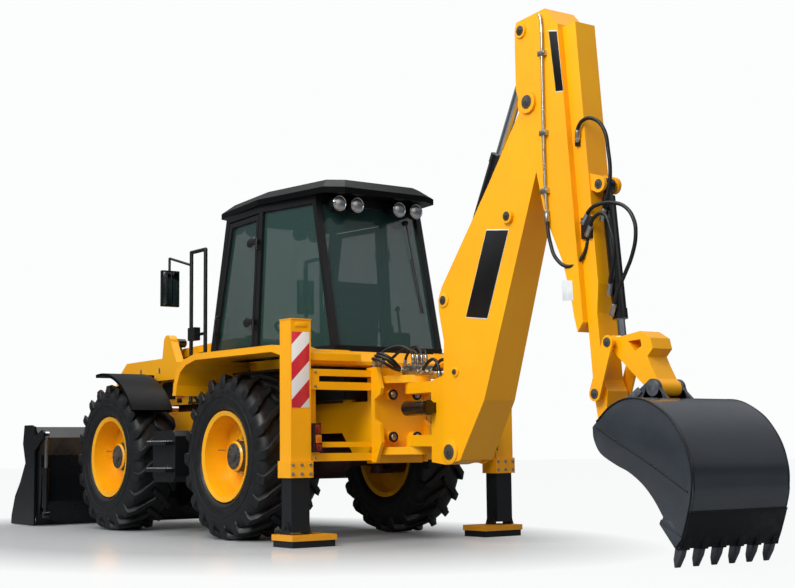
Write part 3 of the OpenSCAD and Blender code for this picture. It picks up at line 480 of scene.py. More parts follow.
def spline(points, radius):
    """A round tube along a smooth curve through the points, as one open spline."""
    curve = bpy.data.curves.new("run", "CURVE")
    curve.dimensions = "3D"
    curve.bevel_depth = radius
    curve.bevel_resolution = 4
    curve.resolution_u = 6
    curve.use_fill_caps = True
    run = curve.splines.new("BEZIER")
    run.bezier_points.add(len(points) - 1)
    for knot, point in zip(run.bezier_points, points):
        knot.co = point
        knot.handle_left_type = "AUTO"
        knot.handle_right_type = "AUTO"
    piece = bpy.data.objects.new("run", curve)
    bpy.context.scene.collection.objects.link(piece)
    return piece


def rod(points, radius):
    """A bent bar, made a mesh."""
    only(spline(points, radius))
    bpy.ops.object.convert(target="MESH")
    return bpy.context.object


def pipe(points, radius, name, body, finish="zinc_plate"):
    """A bent bar as a piece of its own."""
    return dressed(rod(points, radius), name, body, finish, 60)


def hose(points, radius, name, body):
    """A pressure hose between two couplings, crimped at both ends."""
    piece = spline(points, radius)
    dressed(piece, name, body, "hose_rubber")
    ends = []
    for end, inner in ((points[0], points[1]), (points[-1], points[-2])):
        way = (inner - end).normalized() * radius
        ends.append(turned(end - way * 1.2, end + way * 4, radius * 1.35, 18, radius * 0.2))
        ends.append(turned(end - way * 2.2, end - way * 0.2, radius * 1.5, 6, radius * 0.15))
    fittings = dressed(ends, name + "_couplings", body, "zinc_plate")


def bow(points, steps=6):
    """A smooth line through points, with steps from each to the next."""
    made = []
    last = len(points) - 1
    for k in range(last):
        a, b, c, d = (Vector(points[min(max(k + j, 0), last)]) for j in (-1, 0, 1, 2))
        for m in range(steps):
            t = m / steps
            curved = (2 * a - 5 * b + 4 * c - d) * t**2 + (3 * b - a - 3 * c + d) * t**3
            made.append((2 * b + (c - a) * t + curved) / 2)
    return made + [Vector(points[last])]


# What a user would change


class PaintSettings(bpy.types.PropertyGroup):
    yellow_high: bpy.props.StringProperty(
        name="Yellow", description="Main tone of the yellow enamel", default="#FFB400"
    )
    yellow_low: bpy.props.StringProperty(
        name="Yellow in patches", description="Its slightly deeper tone", default="#FBA800"
    )


class FittingSettings(bpy.types.PropertyGroup):
    nut_circle: bpy.props.FloatProperty(
        name="Wheel nut circle", description="Radius of the ring of nuts", default=0.155, subtype="DISTANCE"
    )
    nut_count: bpy.props.IntProperty(name="Wheel nuts", description="Nuts on each wheel", default=10)
    hose_radius: bpy.props.FloatProperty(
        name="Hose radius", description="Outer radius of the ram hoses", default=0.0135, subtype="DISTANCE"
    )
    lens_radius: bpy.props.FloatProperty(
        name="Work lamp radius", description="Radius of a lamp's glass", default=0.060, subtype="DISTANCE"
    )


class StageSettings(bpy.types.PropertyGroup):
    key_power: bpy.props.FloatProperty(
        name="Main lamp", description="Power of the main lamp", default=1200.0, unit="POWER"
    )
    sky_level: bpy.props.FloatProperty(name="Sky", description="Level of the even light", default=0.56)


# Paint

SLOT_FINISHES = {
    "yellow_paint": "yellow_enamel",
    "black_paint": "black_powder_coat",
    "bucket_paint": "bucket_enamel",
    "axle_paint": "axle_primer",
    "leg_paint": "leg_enamel",
    "engine_iron": "engine_iron",
    "chrome_rod": "hard_chrome",
    "tyre_rubber": "tyre_rubber",
    "window_glass": "cab_glass",
    "cab_trim": "cab_moulding",
    "roof_plastic": "roof_moulding",
    "lamp_lens": "lamp_housing",
}


def finish_of(node, slot):
    """A node's finish: its slot's, or that of the few nodes painted otherwise."""
    if node.startswith("rim_"):
        return "rim_enamel"
    if node.endswith(("_barrel", "_barrels", "slew_rams")):
        return "black_enamel"
    if node.startswith("front_fender_"):
        return "roof_moulding"
    if node in ("shovel", "clam"):
        return "shovel_enamel"
    return SLOT_FINISHES[slot]


class PaintNodes(bpy.types.Operator):
    """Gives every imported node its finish"""

    bl_idname = "loader.paint_nodes"
    bl_label = "Paint"

    def execute(self, context):
        slots = {part["node"]: part["material_slot"] for part in frame["record"]["subparts"]}
        for node, piece in frame["nodes"].items():
            piece.data.materials.clear()
            piece.data.materials.append(finishes[finish_of(node, slots[node])])
        return {"FINISHED"}


# Wheels


def round_bolts(centre, out, count, first, circle, size):
    """Bolts in a ring about a wheel's middle. first is the first one's share of a step."""
    bolts = []
    for k in range(count):
        turn = 2 * math.pi * (k + first) / count
        spoke = Vector((math.cos(turn), 0, math.sin(turn)))
        bolts.append(hex_bolt(centre + spoke * circle, out, size))
    return bolts


# A step of the hub's cover: its start and end from the wheel's middle, radius, sides and rounding
HUB_STEPS = (
    (0.004, 0.086, 0.1295, 48, 0.004),
    (0.084, 0.1015, 0.114, 48, 0.006),
    (0.1, 0.112, 0.04, 32, 0.004),
)
HUB_BOLTS = 8
HUB_BOLT_CIRCLE = 0.088
HUB_BOLT_SEAT = 0.101


class AddWheelFittings(bpy.types.Operator):
    """Hub cover, bolts and wheel nuts on each wheel"""

    bl_idname = "loader.add_wheel_fittings"
    bl_label = "Wheel fittings"

    def execute(self, context):
        fittings = context.scene.loader_fittings
        for end, station in WHEEL_STATIONS.items():
            for side, s in SIDES.items():
                wheel = f"{end}_{side}"
                out = Vector((0, s, 0))
                centre = at(station, s * WHEEL_Y, AXLE_Z)
                nuts = round_bolts(centre, out, fittings.nut_count, 0.5, fittings.nut_circle, 0.015)
                dressed(nuts, f"wheel_nuts_{wheel}", f"wheel_{wheel}", "zinc_plate")
                cover = []
                for low, high, *rest in HUB_STEPS:
                    cover.append(turned(centre + out * low, centre + out * high, *rest))
                cover += round_bolts(centre + out * HUB_BOLT_SEAT, out, HUB_BOLTS, 0, HUB_BOLT_CIRCLE, 0.009)
                dressed(cover, f"hub_cover_{wheel}", f"wheel_{wheel}", "hub_iron")
        return {"FINISHED"}


# A tyre's half section without its lugs, from the rim to the tread's middle, as (radius, y)
CARCASS = (
    (0.3553, 0.177),
    (0.392, 0.177),
    (0.402, 0.200),
    (0.425, 0.210),
    (0.470, 0.216),
    (0.540, 0.215),
    (0.600, 0.204),
    (0.640, 0.180),
    (0.655, 0.140),
    (0.661, 0.070),
    (0.663, 0.0),
)
# A lug's top and its foot, from the tread's middle over the shoulder, as (y, radius)
LUG_TOP = (
    (-0.022, 0.697),
    (0.05, 0.697),
    (0.11, 0.697),
    (0.150, 0.697),
    (0.200, 0.684),
    (0.2135, 0.637),
    (0.2155, 0.575),
)
LUG_FOOT = (
    (-0.015, 0.640),
    (0.05, 0.640),
    (0.11, 0.638),
    (0.145, 0.635),
    (0.175, 0.630),
    (0.198, 0.612),
    (0.203, 0.572),
)
LUG_PAIRS = 20
LUG_WIDTH = 0.062
LUG_SWEEP = 0.30
LUG_SWEEP_END = 0.7
LUG_FOOT_FLARE = 0.18
LUG_END_FLARE = 0.35
LUG_SLICES = 12
TREAD_RADIUS = 0.69


def spun(profile, sides, name):
    """A closed ring turned about the Y axis. profile is (radius, y) all round."""
    deselect()
    bpy.ops.mesh.primitive_circle_add(vertices=len(profile), radius=0.1)
    piece = bpy.context.object
    for vertex, (radius, y) in zip(piece.data.vertices, profile):
        vertex.co = (radius, y, 0)
    bpy.ops.object.mode_set(mode="EDIT")
    bpy.ops.mesh.select_all(action="SELECT")
    bpy.ops.mesh.spin(steps=sides, angle=2 * math.pi, center=(0, 0, 0), axis=(0, 1, 0))
    bpy.ops.mesh.select_all(action="SELECT")
    bpy.ops.mesh.remove_doubles(threshold=0.0001)
    bpy.ops.mesh.normals_make_consistent(inside=False)
    bpy.ops.object.mode_set(mode="OBJECT")
    return settled(piece, name)


def along(path, t):
    """The point at t from 0 to 1 on a line of points of even spans."""
    place = min(max(t, 0.0), 0.9999) * (len(path) - 1)
    k = int(place)
    return [p + (q - p) * (place - k) for p, q in zip(path[k], path[k + 1])]


def lug():
    """One lug that runs from the tread's middle slantwise over the shoulder, wider at foot and end."""
    deselect()
    bpy.ops.mesh.primitive_cube_add(size=2)
    piece = bpy.context.object
    softened(piece, 0.16, 2)
    bpy.ops.object.mode_set(mode="EDIT")
    for k in range(1, LUG_SLICES):
        bpy.ops.mesh.select_all(action="SELECT")
        bpy.ops.mesh.bisect(plane_co=(-1 + 2 * k / LUG_SLICES, 0, 0), plane_no=(1, 0, 0))
    bpy.ops.object.mode_set(mode="OBJECT")
    for vertex in piece.data.vertices:
        u, v, w = vertex.co
        t = (u + 1) / 2
        rise = (w + 1) / 2
        y, radius = (f + (g - f) * rise for f, g in zip(along(LUG_FOOT, t), along(LUG_TOP, t)))
        half = LUG_WIDTH / 2 * (1 + LUG_FOOT_FLARE * (1 - rise)) * (1 + LUG_END_FLARE * t)
        turn = v * half / TREAD_RADIUS - LUG_SWEEP * min(t / LUG_SWEEP_END, 1.0) ** 0.9
        vertex.co = (radius * math.sin(turn), y, radius * math.cos(turn))
    return settled(piece, "lug")


def lugged_tyre():
    """A tyre about the Y axis, with its lugs and the beads on its walls."""
    profile = list(CARCASS) + [(r, -y) for r, y in reversed(CARCASS[:-1])]
    parts = []
    for y_way in (1, -1):
        parts.append(ring((0, y_way * 0.2158, 0), (0, 1, 0), 0.505, 0.0035, 72))
        parts.append(ring((0, y_way * 0.2095, 0), (0, 1, 0), 0.428, 0.004, 72))
    first = lug()
    for k in range(LUG_PAIRS):
        for y_way, shift in ((1, 0.0), (-1, 0.5)):
            turn = Matrix.Rotation(2 * math.pi * (k + shift) / LUG_PAIRS, 4, "Y")
            parts.append(copied(first, turn @ Matrix.Diagonal((1, y_way, 1, 1))))
    bpy.data.objects.remove(first)
    return united([spun(profile, 96, "carcass")] + parts)


class AddTyres(bpy.types.Operator):
    """Lugged tyres in place of their plain rings, with their valves"""

    bl_idname = "loader.add_tyres"
    bl_label = "Tyres"

    def execute(self, context):
        whole = lugged_tyre()
        valve = ((0.27, 0.02, 0.05), (0.285, 0.06, 0.053), (0.29, 0.085, 0.054))
        for end, station in WHEEL_STATIONS.items():
            for side, s in SIDES.items():
                wheel = f"{end}_{side}"
                centre = at(station, s * WHEEL_Y, AXLE_Z)
                flip = Matrix.Diagonal((1, s, 1, 1))
                twin = copied(whole, Matrix.Translation(centre) @ flip)
                dressed(twin, f"lugged_tyre_{wheel}", f"wheel_{wheel}", "tyre_rubber", 45)
                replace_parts(twin, f"tyre_{wheel}")
                stem = [centre + flip.to_3x3() @ Vector(p) for p in valve]
                pipe(stem, 0.006, f"valve_{wheel}", f"wheel_{wheel}")
        bpy.data.objects.remove(whole)
        return {"FINISHED"}


# Film and plates

TUBE_FACE = -1.2105
DIPPER_HALF = 0.142
HOOD_SIDE = 0.3205
BOOM_PLATE = ((-2.50, 2.36), (-2.75, 2.33), (-2.51, 1.70), (-2.26, 1.73))
DIPPER_PLATE = ((-3.25, 3.70), (-3.335, 3.68), (-3.385, 3.24), (-3.31, 3.25))
HOOD_PLATE = ((2.04, 1.66), (1.64, 1.70), (1.60, 1.56), (1.98, 1.52))
HOOD_BAND = ((2.14, 1.36), (2.0, 1.49), (1.56, 1.53), (1.53, 1.42), (1.80, 1.33), (2.16, 1.24))


def boom_half_width(z):
    """Half of the boom's width, which tapers from its foot to its head."""
    foot_z, length = 0.600, 2.8
    return 0.160 - 0.060 * (z - foot_z) / length


def add_plate(name, body, outline, half_width):
    """A blank black plate with a white rim on both sides of an arm of the backhoe."""
    middle = [sum(p[k] for p in outline) / len(outline) for k in (0, 1)]
    layers = (("rim", 0.008, 0.0004, "label_white"), ("face", 0.0, 0.0012, "plate_black"))
    for side, s in SIDES.items():
        for part, grown, lift, finish in layers:
            points = []
            for x, z in outline:
                away = Vector((x - middle[0], z - middle[1])).normalized() * grown
                points.append(at(x + away.x, HOE_Y + s * (half_width(z) + lift), z + away.y))
            plate = cut_plate(points, 0.0015, (0, s, 0), 0.0004)
            dressed(plate, f"{name}_{part}_{side}", body, finish)


class AddSafetyFilm(bpy.types.Operator):
    """Red and white film on the two outer tubes, blank plates and the hood's coloured band"""

    bl_idname = "loader.add_safety_film"
    bl_label = "Film and plates"

    def execute(self, context):
        for side, s in SIDES.items():
            film = block(at(TUBE_FACE - 0.002, s * 0.956, 1.07), at(TUBE_FACE, s * 1.118, 1.66), 0.0006)
            dressed(film, f"hazard_film_{side}", "chassis", "hazard_film")
        add_plate("boom_plate", "boom", BOOM_PLATE, boom_half_width)
        add_plate("dipper_plate", "dipper", DIPPER_PLATE, lambda z: DIPPER_HALF)
        for side, s in SIDES.items():
            plate = side_plate(HOOD_PLATE, s * HOOD_SIDE, 0.002, s, 0.0005)
            dressed(plate, f"hood_plate_{side}", "hood", "plate_black")
            band = side_plate(HOOD_BAND, s * HOOD_SIDE, 0.0015, s, 0.0004)
            dressed(band, f"hood_band_{side}", "hood", "swoosh_film")
        return {"FINISHED"}


# Lamps


def add_round_lamps(names, body, seats, out, lens, bezel):
    """Round lamps on their seats, as a piece of glasses and a piece of bezels.

    lens holds a glass's radius, rise and sides, bezel its lift, radius, thickness and sides.
    """
    lift, *bead = bezel
    glasses = [dome(seat, out, *lens) for seat in seats]
    bezels = [ring(seat + out * lift, out, *bead) for seat in seats]
    dressed(glasses, names.format("glass"), body, "lamp_glass")
    dressed(bezels, names.format("bezels"), body, "hard_chrome")


class AddLamps(bpy.types.Operator):
    """Work lamp glasses with their bezels"""

    bl_idname = "loader.add_lamps"
    bl_label = "Lamps"

    def execute(self, context):
        radius = context.scene.loader_fittings.lens_radius
        bezel = (0.002, radius + 0.002, 0.006, 40)
        rows = (("rear", -0.831, BACK, (0.22, 0.40)), ("front", 0.831, AHEAD, (0.26, 0.43)))
        for name, x, out, places in rows:
            seats = [at(x, s * y, 2.79) for y in places for s in (1, -1)]
            add_round_lamps(name + "_lamp_{}", "chassis", seats, out, (radius, 0.016, 32), bezel)
        return {"FINISHED"}


# A tail lamp's name, foot, top and finish
TAIL_LAMPS = (
    ("stop", 0.868, 0.938, "red_lens"),
    ("turn", 0.795, 0.860, "amber_lens"),
    ("tail", 0.735, 0.787, "red_lens"),
)


class AddRoadLamps(bpy.types.Operator):
    """Tail lamps on the rear frame, lamps on the hoops and in the hood's nose"""

    bl_idname = "loader.add_road_lamps"
    bl_label = "Road lamps"

    def execute(self, context):
        for side, s in SIDES.items():
            for name, low, high, finish in TAIL_LAMPS:
                face = -1.2325 - (0.945 - high) * 0.0889
                lens = block(at(face - 0.016, s * 0.870, low), at(face + 0.006, s * 0.918, high), 0.005)
                dressed(lens, f"{name}_lens_{side}", "chassis", finish)
            seats = [at(1.220, s * 0.685, z) for z in (1.790, 1.850)]
            names = "hoop_lamp_{}_" + side
            add_round_lamps(names, "chassis", seats, AHEAD, (0.024, 0.008, 24), (0.001, 0.026, 0.003, 28))
        out = Vector((0.170, 0, 0.060)).normalized()
        seats = [at(2.676, s * 0.215, 1.375) - out * 0.004 for s in (1, -1)]
        add_round_lamps("headlamp_{}", "hood", seats, out, (0.055, 0.014, 32), (0.003, 0.058, 0.006, 40))
        return {"FINISHED"}


# Pin ends

# A pin's body, station, height, middle, face from the middle, radius and its boss's radius
PINS = (
    ("boom", -2.070, 0.717, HOE_Y, 0.1575, 0.058, 0.094),
    ("boom", -2.758, 2.431, HOE_Y, 0.150, 0.034, 0.0),
    ("boom", -1.990, 1.880, HOE_Y, 0.1330, 0.034, 0.058),
    ("boom", -2.133, 1.321, HOE_Y, 0.1446, 0.022, 0.040),
    ("dipper", -3.020, 3.230, HOE_Y, 0.164, 0.050, 0.0),
    ("dipper", -2.954, 3.776, HOE_Y, 0.156, 0.036, 0.0),
    ("slider", -3.650, 2.539, HOE_Y, 0.082, 0.034, 0.0),
    ("lever", -3.630, 1.100, HOE_Y, 0.150, 0.034, 0.0),
    ("lever", -3.760, 1.440, HOE_Y, 0.150, 0.032, 0.0),
    ("chassis", 1.080, 1.500, 0.0, 0.570, 0.044, 0.0),
    ("shovel", 3.280, 0.280, 0.0, 0.570, 0.040, 0.0),
)
BOSS_RISE = 0.012


class AddPinEnds(bpy.types.Operator):
    """Pin ends with their washers and grease nipples, and the boom's bosses"""

    bl_idname = "loader.add_pin_ends"
    bl_label = "Pin ends"

    def execute(self, context):
        ends, bosses = {}, {}
        for body, x, z, middle, face, radius, boss in PINS:
            steps = ((-0.002, 0.006, radius, 36), (0.005, 0.011, radius * 0.55, 28), (0.01, 0.022, 0.006, 12))
            for s in SIDES.values():
                out = Vector((0, s, 0))
                seat = at(x, middle + s * face, z)
                if boss:
                    rim = turned(seat - out * 0.004, seat + out * BOSS_RISE, boss, 40, 0.005)
                    bosses.setdefault(body, []).append(rim)
                    seat = seat + out * BOSS_RISE
                stack = [turned(seat + out * low, seat + out * high, *rest) for low, high, *rest in steps]
                ends.setdefault(body, []).extend(stack)
        for body, made in ends.items():
            dressed(made, f"pin_ends_{body}", body, "hub_iron")
        for body, made in bosses.items():
            dressed(made, f"pin_bosses_{body}", body, "yellow_enamel")
        return {"FINISHED"}


# Cab

# The rear wiper's parts as (y, height, stand-off from the pane)
WIPER_ARM = ((-0.37, 2.69, 0.035), (-0.38, 2.5, 0.03), (-0.405, 2.1, 0.02))
WIPER_BLADE = ((-0.385, 2.38, 0.012), (-0.40, 2.14, 0.012), (-0.42, 1.90, 0.012))
# The door's grip as (height over the sill, stand-off)
DOOR_GRIP = ((0.20, 0.03), (0.215, 0.06), (0.30, 0.062), (0.38, 0.06), (0.395, 0.03))
SILL_Z = 1.560


def rear_pane(y, z, out=0.0):
    """A point on the rear window's outer face."""
    lean = 0.285 / 1.270
    return at(-0.945 + (z - SILL_Z) * lean - out, y, z)


def side_wall(reach, up, side, out=0.0):
    """A point on a door's outer face: reach from its hinges, up from the sill."""
    hinge = Vector((-0.010, 0.700, SILL_Z))
    latch = Vector((0.935, 0.600, SILL_Z))
    run = (latch - hinge).normalized()
    level = Vector((-run.y, run.x, 0))
    tilt = math.atan2(0.062, 1.270)
    rise = Vector((0, 0, math.cos(tilt))) - level * math.sin(tilt)
    normal = level * math.cos(tilt) + Vector((0, 0, math.sin(tilt)))
    point = hinge + run * reach + rise * up + normal * out
    return at(point.x, side * point.y, point.z)


def hinge_cover(up, s):
    """An oval cap over a door's hinge, up from the sill."""
    cover = dome((0, 0, 0), (0, 0, 1), 0.055, 0.012)
    cover.scale = (1.5, 0.8, 1)
    settled(cover, "cover")
    base = side_wall(0.12, up, s, 0.058)
    nearby = (side_wall(0.2, up, s, 0.058), side_wall(0.12, up + 0.1, s, 0.058), side_wall(0.12, up, s, 0.1))
    turn = Matrix([(point - base).normalized() for point in nearby]).transposed().to_4x4()
    cover.data.transform(Matrix.Translation(base) @ turn)
    if turn.determinant() < 0:
        cover.data.flip_normals()
    return cover


class AddCabFittings(bpy.types.Operator):
    """Rear wiper, hinge covers, door grips and the mirrors' glass and backs"""

    bl_idname = "loader.add_cab_fittings"
    bl_label = "Cab fittings"

    def execute(self, context):
        arm = rod([rear_pane(*p) for p in WIPER_ARM], 0.006)
        blade = rod([rear_pane(*p) for p in WIPER_BLADE], 0.012)
        hub = turned(rear_pane(-0.37, 2.70), rear_pane(-0.37, 2.70, 0.045), 0.022, 24, 0.004)
        dressed([arm, blade, hub], "rear_wiper", "chassis", "black_powder_coat")
        for side, s in SIDES.items():
            door = f"door_{side}"
            covers = [hinge_cover(up, s) for up in (0.285, 0.985)]
            dressed(covers, f"hinge_covers_{side}", door, "black_powder_coat")
            grip = [side_wall(0.80, up, s, out) for up, out in DOOR_GRIP]
            pipe(grip, 0.009, f"door_grip_{side}", door, "black_powder_coat")
            plate = block(at(1.468, s * 0.682, 2.115), at(1.4708, s * 0.838, 2.425), 0.001)
            dressed(plate, f"mirror_glass_{side}", "chassis", "mirror_glass")
            shell = block(at(1.508, s * 0.69, 2.12), at(1.520, s * 0.83, 2.42), 0.005)
            dressed(shell, f"mirror_back_{side}", "chassis", "roof_moulding")
        return {"FINISHED"}


def cushion(size, crown, channels):
    """A stuffed pad of a size: crowned on top, drawn in at its sides and sewn across at channels."""
    seam_width, seam_depth, waist = 0.055, 0.011, 0.05
    deselect()
    bpy.ops.mesh.primitive_cube_add(size=2)
    piece = bpy.context.object
    bpy.ops.object.mode_set(mode="EDIT")
    bpy.ops.mesh.subdivide(number_cuts=19)
    bpy.ops.object.mode_set(mode="OBJECT")
    for vertex in piece.data.vertices:
        u, v, w = vertex.co
        swell = (1 - u**4) * (1 - v**4)
        sewn = sum(math.exp(-(((u - c) / seam_width) ** 2)) for c in channels)
        pulled = waist * (1 - w * w)
        sunk = crown * (1 - swell) + seam_depth * sewn * (1 - v**6)
        vertex.co = (
            size[0] / 2 * u * (1 - pulled * (1 - v * v)),
            size[1] / 2 * v * (1 - pulled * (1 - u * u)),
            size[2] / 2 * w - max(w, 0.0) * sunk,
        )
    softened(piece, 0.006, 2)
    smooth = piece.modifiers.new("smooth", "SUBSURF")
    smooth.levels = 1
    smooth.render_levels = 1
    only(piece)
    bpy.ops.object.modifier_apply(modifier=smooth.name)
    return piece


def cab_controls():
    """Seat base, dashboard, steering wheel and the two lever consoles."""
    hub = at(0.49, 0, 1.83)
    parts = [
        block(at(-0.40, -0.22, 1.18), at(0.02, 0.22, 1.43), 0.02),
        block(at(-0.36, -0.16, 1.30), at(-0.02, 0.16, 1.434), 0.01),
        block(at(0.64, -0.16, 1.18), at(0.76, 0.16, 1.60), 0.02),
        block(at(0.635, -0.16, 1.585), at(0.705, 0.16, 1.622), 0.012),
        turned(at(0.66, 0, 1.58), hub, 0.030, 24, 0.004),
    ]
    lean = math.radians(32)
    tip = Vector((-math.sin(lean), 0, math.cos(lean)))
    parts.append(ring(hub, tip, 0.185, 0.015, 48))
    parts.append(turned(hub - tip * 0.02, hub + tip * 0.014, 0.045, 28, 0.006))
    left = Vector((0, 1, 0))
    level = tip.cross(left)
    for spoke in (level, -level, left, -left):
        parts.append(turned(hub + spoke * 0.03, hub + spoke * 0.18, 0.009, 12, 0.001))
    for s in SIDES.values():
        parts.append(block(at(-0.76, s * 0.25, 1.18), at(-0.60, s * 0.39, 1.74), 0.025))
        for x, y in ((-0.72, s * 0.30), (-0.66, s * 0.34)):
            knob = at(x + 0.035, y, 1.94)
            parts.append(turned(at(x, y, 1.735), knob, 0.009, 14, 0.001))
            parts.append(dome(knob, (0.17, 0, 1), 0.024, 0.034, 24))
    return united(parts)


class AddSeat(bpy.types.Operator):
    """The padded seat and the controls in place of the cab's plain solids"""

    bl_idname = "loader.add_seat"
    bl_label = "Seat"

    def execute(self, context):
        inside = cab_controls()
        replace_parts(dressed(inside, "cab_controls", "chassis", "cab_moulding"), "cab_interior")
        base = cushion((0.56, 0.54, 0.13), 0.028, (-0.45, 0.0, 0.45))
        base.data.transform(Matrix.Translation(at(-0.20, 0.0, 1.4955)))
        dressed(base, "seat_cushion", "chassis", "seat_fabric", 80)
        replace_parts(base, "cab_interior")
        back = cushion((0.63, 0.50, 0.115), 0.024, (-0.5, -0.15, 0.2, 0.55))
        lean = math.atan2(0.065, 0.62)
        turn = Matrix.Rotation(-math.pi / 2 - lean, 4, "Y")
        back.data.transform(Matrix.Translation(at(-0.4425, 0.0, 1.868)) @ turn)
        dressed(back, "seat_back", "chassis", "seat_fabric", 80)
        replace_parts(back, "cab_interior")
        return {"FINISHED"}


# Hood and loader arms

VENT = ((2.20, 1.26), (2.47, 1.26), (2.47, 1.432), (2.20, 1.432))
LOADER_PIPE = (
    (1.52, 1.52),
    (1.60, 1.545),
    (2.0, 1.55),
    (2.5, 1.55),
    (2.75, 1.545),
    (2.86, 1.50),
    (2.93, 1.40),
)
ARM_INNER = 0.530


class AddHoodFittings(bpy.types.Operator):
    """Grille bars, side vents and latches on the hood"""

    bl_idname = "loader.add_hood_fittings"
    bl_label = "Hood fittings"

    def execute(self, context):
        bars = []
        for k in range(6):
            z = 1.283 + k * 0.055
            nose = 2.690 if z < 1.30 else 2.694 - (z - 1.290) * 0.353
            for column in range(-5, 6):
                middle = at(nose - 0.022, column * 0.04, z)
                bars.append(turned(middle - UP * 0.012, middle + UP * 0.012, 0.003, 8, 0))
        dressed(bars, "grille_bars", "hood", "black_powder_coat")
        for side, s in SIDES.items():
            face = s * 0.3195
            slats = [side_plate(VENT, face, 0.004, s, 0.001)]
            for k in range(9):
                z = 1.275 + k * 0.017
                slats.append(block(at(2.215, face, z), at(2.455, face + s * 0.012, z + 0.007), 0.002))
            dressed(slats, f"side_vent_{side}", "hood", "black_powder_coat")
            lock = at(2.085, face + s * 0.008, 1.2435)
            latch = [
                block(at(2.06, face, 1.225), at(2.15, face + s * 0.010, 1.262), 0.004),
                turned(lock, lock + Vector((0, s * 0.008, 0)), 0.012, 24, 0.002),
            ]
            dressed(latch, f"hood_latch_{side}", "hood", "black_powder_coat")
        return {"FINISHED"}


class AddLoaderPipes(bpy.types.Operator):
    """Pipes and bolted clamps along the loader's arms"""

    bl_idname = "loader.add_loader_pipes"
    bl_label = "Loader pipes"

    def execute(self, context):
        for side, s in SIDES.items():
            inner = s * (ARM_INNER - 0.016)
            for k, drop in enumerate((0.0, 0.034)):
                points = [at(x, inner, z - drop) for x, z in LOADER_PIPE]
                pipe(points, 0.0095, f"loader_pipe_{k}_{side}", "loader_arms", "black_enamel")
            clamps = []
            for x in (1.72, 2.12, 2.52):
                low, high = at(x, inner - s * 0.012, 1.504), at(x + 0.035, s * (ARM_INNER + 0.001), 1.562)
                clamps.append(block(low, high, 0.003))
                clamps.append(hex_bolt(at(x + 0.017, inner - s * 0.011, 1.533), (0, -s, 0), 0.008))
            dressed(clamps, f"loader_clamps_{side}", "loader_arms", "zinc_plate")
        return {"FINISHED"}


# Rear frame, carriage and steps


def step_plates(s):
    """The two treads of one side's tank with their raised studs."""
    stud = turned((0, 0, 0), (0, 0, 0.008), 0.010, 14, 0.003)
    plates, heads = [], []
    for z in (0.590, 0.830):
        plates.append(block(at(0.936, s * 1.003, z - 0.001), at(1.314, s * 1.088, z + 0.004), 0.001))
        for k in range(9):
            for y in (1.018, 1.046, 1.074):
                spot = at(0.955 + k * 0.0425, s * y, z + 0.002)
                heads.append(copied(stud, Matrix.Translation(spot)))
    bpy.data.objects.remove(stud)
    return united(plates + heads)


class AddFrameFittings(bpy.types.Operator):
    """Bolts, caps and clamps on the rear frame and carriage, and step plates on the tanks"""

    bl_idname = "loader.add_frame_fittings"
    bl_label = "Frame fittings"

    def execute(self, context):
        bolts, caps = [], []
        for s in SIDES.values():
            for y in (0.952, 1.033, 1.114):
                bolts += [hex_bolt(at(-1.222, s * y, z), BACK, 0.011) for z in (0.560, 0.630)]
            caps.append(block(at(-1.216, s * 0.936, 1.7545), at(-1.044, s * 1.130, 1.763), 0.003))
            caps.append(block(at(-1.216, s * 0.98, 1.70), at(-1.2095, s * 1.085, 1.735), 0.002))
            bolts += [hex_bolt(at(-1.190, s * 0.885, z), BACK, 0.010) for z in (1.24, 1.35, 0.68, 0.78)]
        dressed(bolts, "frame_bolts", "chassis", "zinc_plate")
        dressed(caps, "tube_caps", "chassis", "yellow_enamel")
        clamps, centres, bolts = [], [], []
        for y in (-0.120, 0.120):
            for z in (0.840, 1.180):
                seat = at(-1.2915, HOE_Y + y, z)
                clamps.append(turned(seat - BACK * 0.002, seat + BACK * 0.016, 0.043, 36, 0.004))
                centres.append(dome(seat + BACK * 0.0155, BACK, 0.026, 0.008, 28))
        for y in (-0.225, 0.225):
            bolts += [hex_bolt(at(-1.2308, HOE_Y + y, z), BACK, 0.012) for z in (0.70, 0.80, 1.24, 1.34)]
        dressed(clamps, "clamp_rings", "carriage", "black_powder_coat")
        dressed(centres + bolts, "clamp_centres", "carriage", "zinc_plate")
        for side, s in SIDES.items():
            dressed(step_plates(s), f"step_plates_{side}", "chassis", "step_aluminium")
        return {"FINISHED"}


# Bucket

BUCKET_SHELL = (
    (-3.910, 0.871),
    (-4.090, 1.010),
    (-4.273, 1.050),
    (-4.480, 0.990),
    (-4.650, 0.845),
    (-4.742, 0.640),
    (-4.750, 0.470),
    (-4.700, 0.300),
    (-4.630, 0.130),
)
BUCKET_EDGE = (
    (-4.502, 0.315),
    (-4.428, 0.419),
    (-4.336, 0.511),
    (-4.222, 0.584),
    (-4.118, 0.626),
    (-3.978, 0.700),
    (-3.920, 0.790),
    (-3.912, 0.852),
)
BUCKET_CORNER = ((-4.600, 0.130), (-4.480, 0.270))
BUCKET_REAR = -4.75
BUCKET_HALF = 0.450
BUCKET_SKIN = 0.024
BUCKET_SIDE = 0.018
BUCKET_EAR = 0.100
BUCKET_LIP = ((-4.630, 0.130), (-4.600, 0.130), (-4.588, 0.150), (-4.648, 0.180))
TEETH = [-0.410 + k * 0.164 for k in range(6)]
TOOTH = (
    (-4.660, 0.190),
    (-4.590, 0.190),
    (-4.560, 0.060),
    (-4.566, 0.012),
    (-4.578, 0.012),
    (-4.620, 0.080),
)
ADAPTOR = (
    (-4.672, 0.205),
    (-4.655, 0.262),
    (-4.640, 0.258),
    (-4.636, 0.190),
    (-4.600, 0.175),
    (-4.590, 0.120),
    (-4.650, 0.120),
)
LIP_BAND = (
    (-4.724, 0.345),
    (-4.709, 0.300),
    (-4.672, 0.200),
    (-4.640, 0.128),
    (-4.628, 0.134),
    (-4.660, 0.205),
    (-4.696, 0.300),
    (-4.712, 0.345),
)
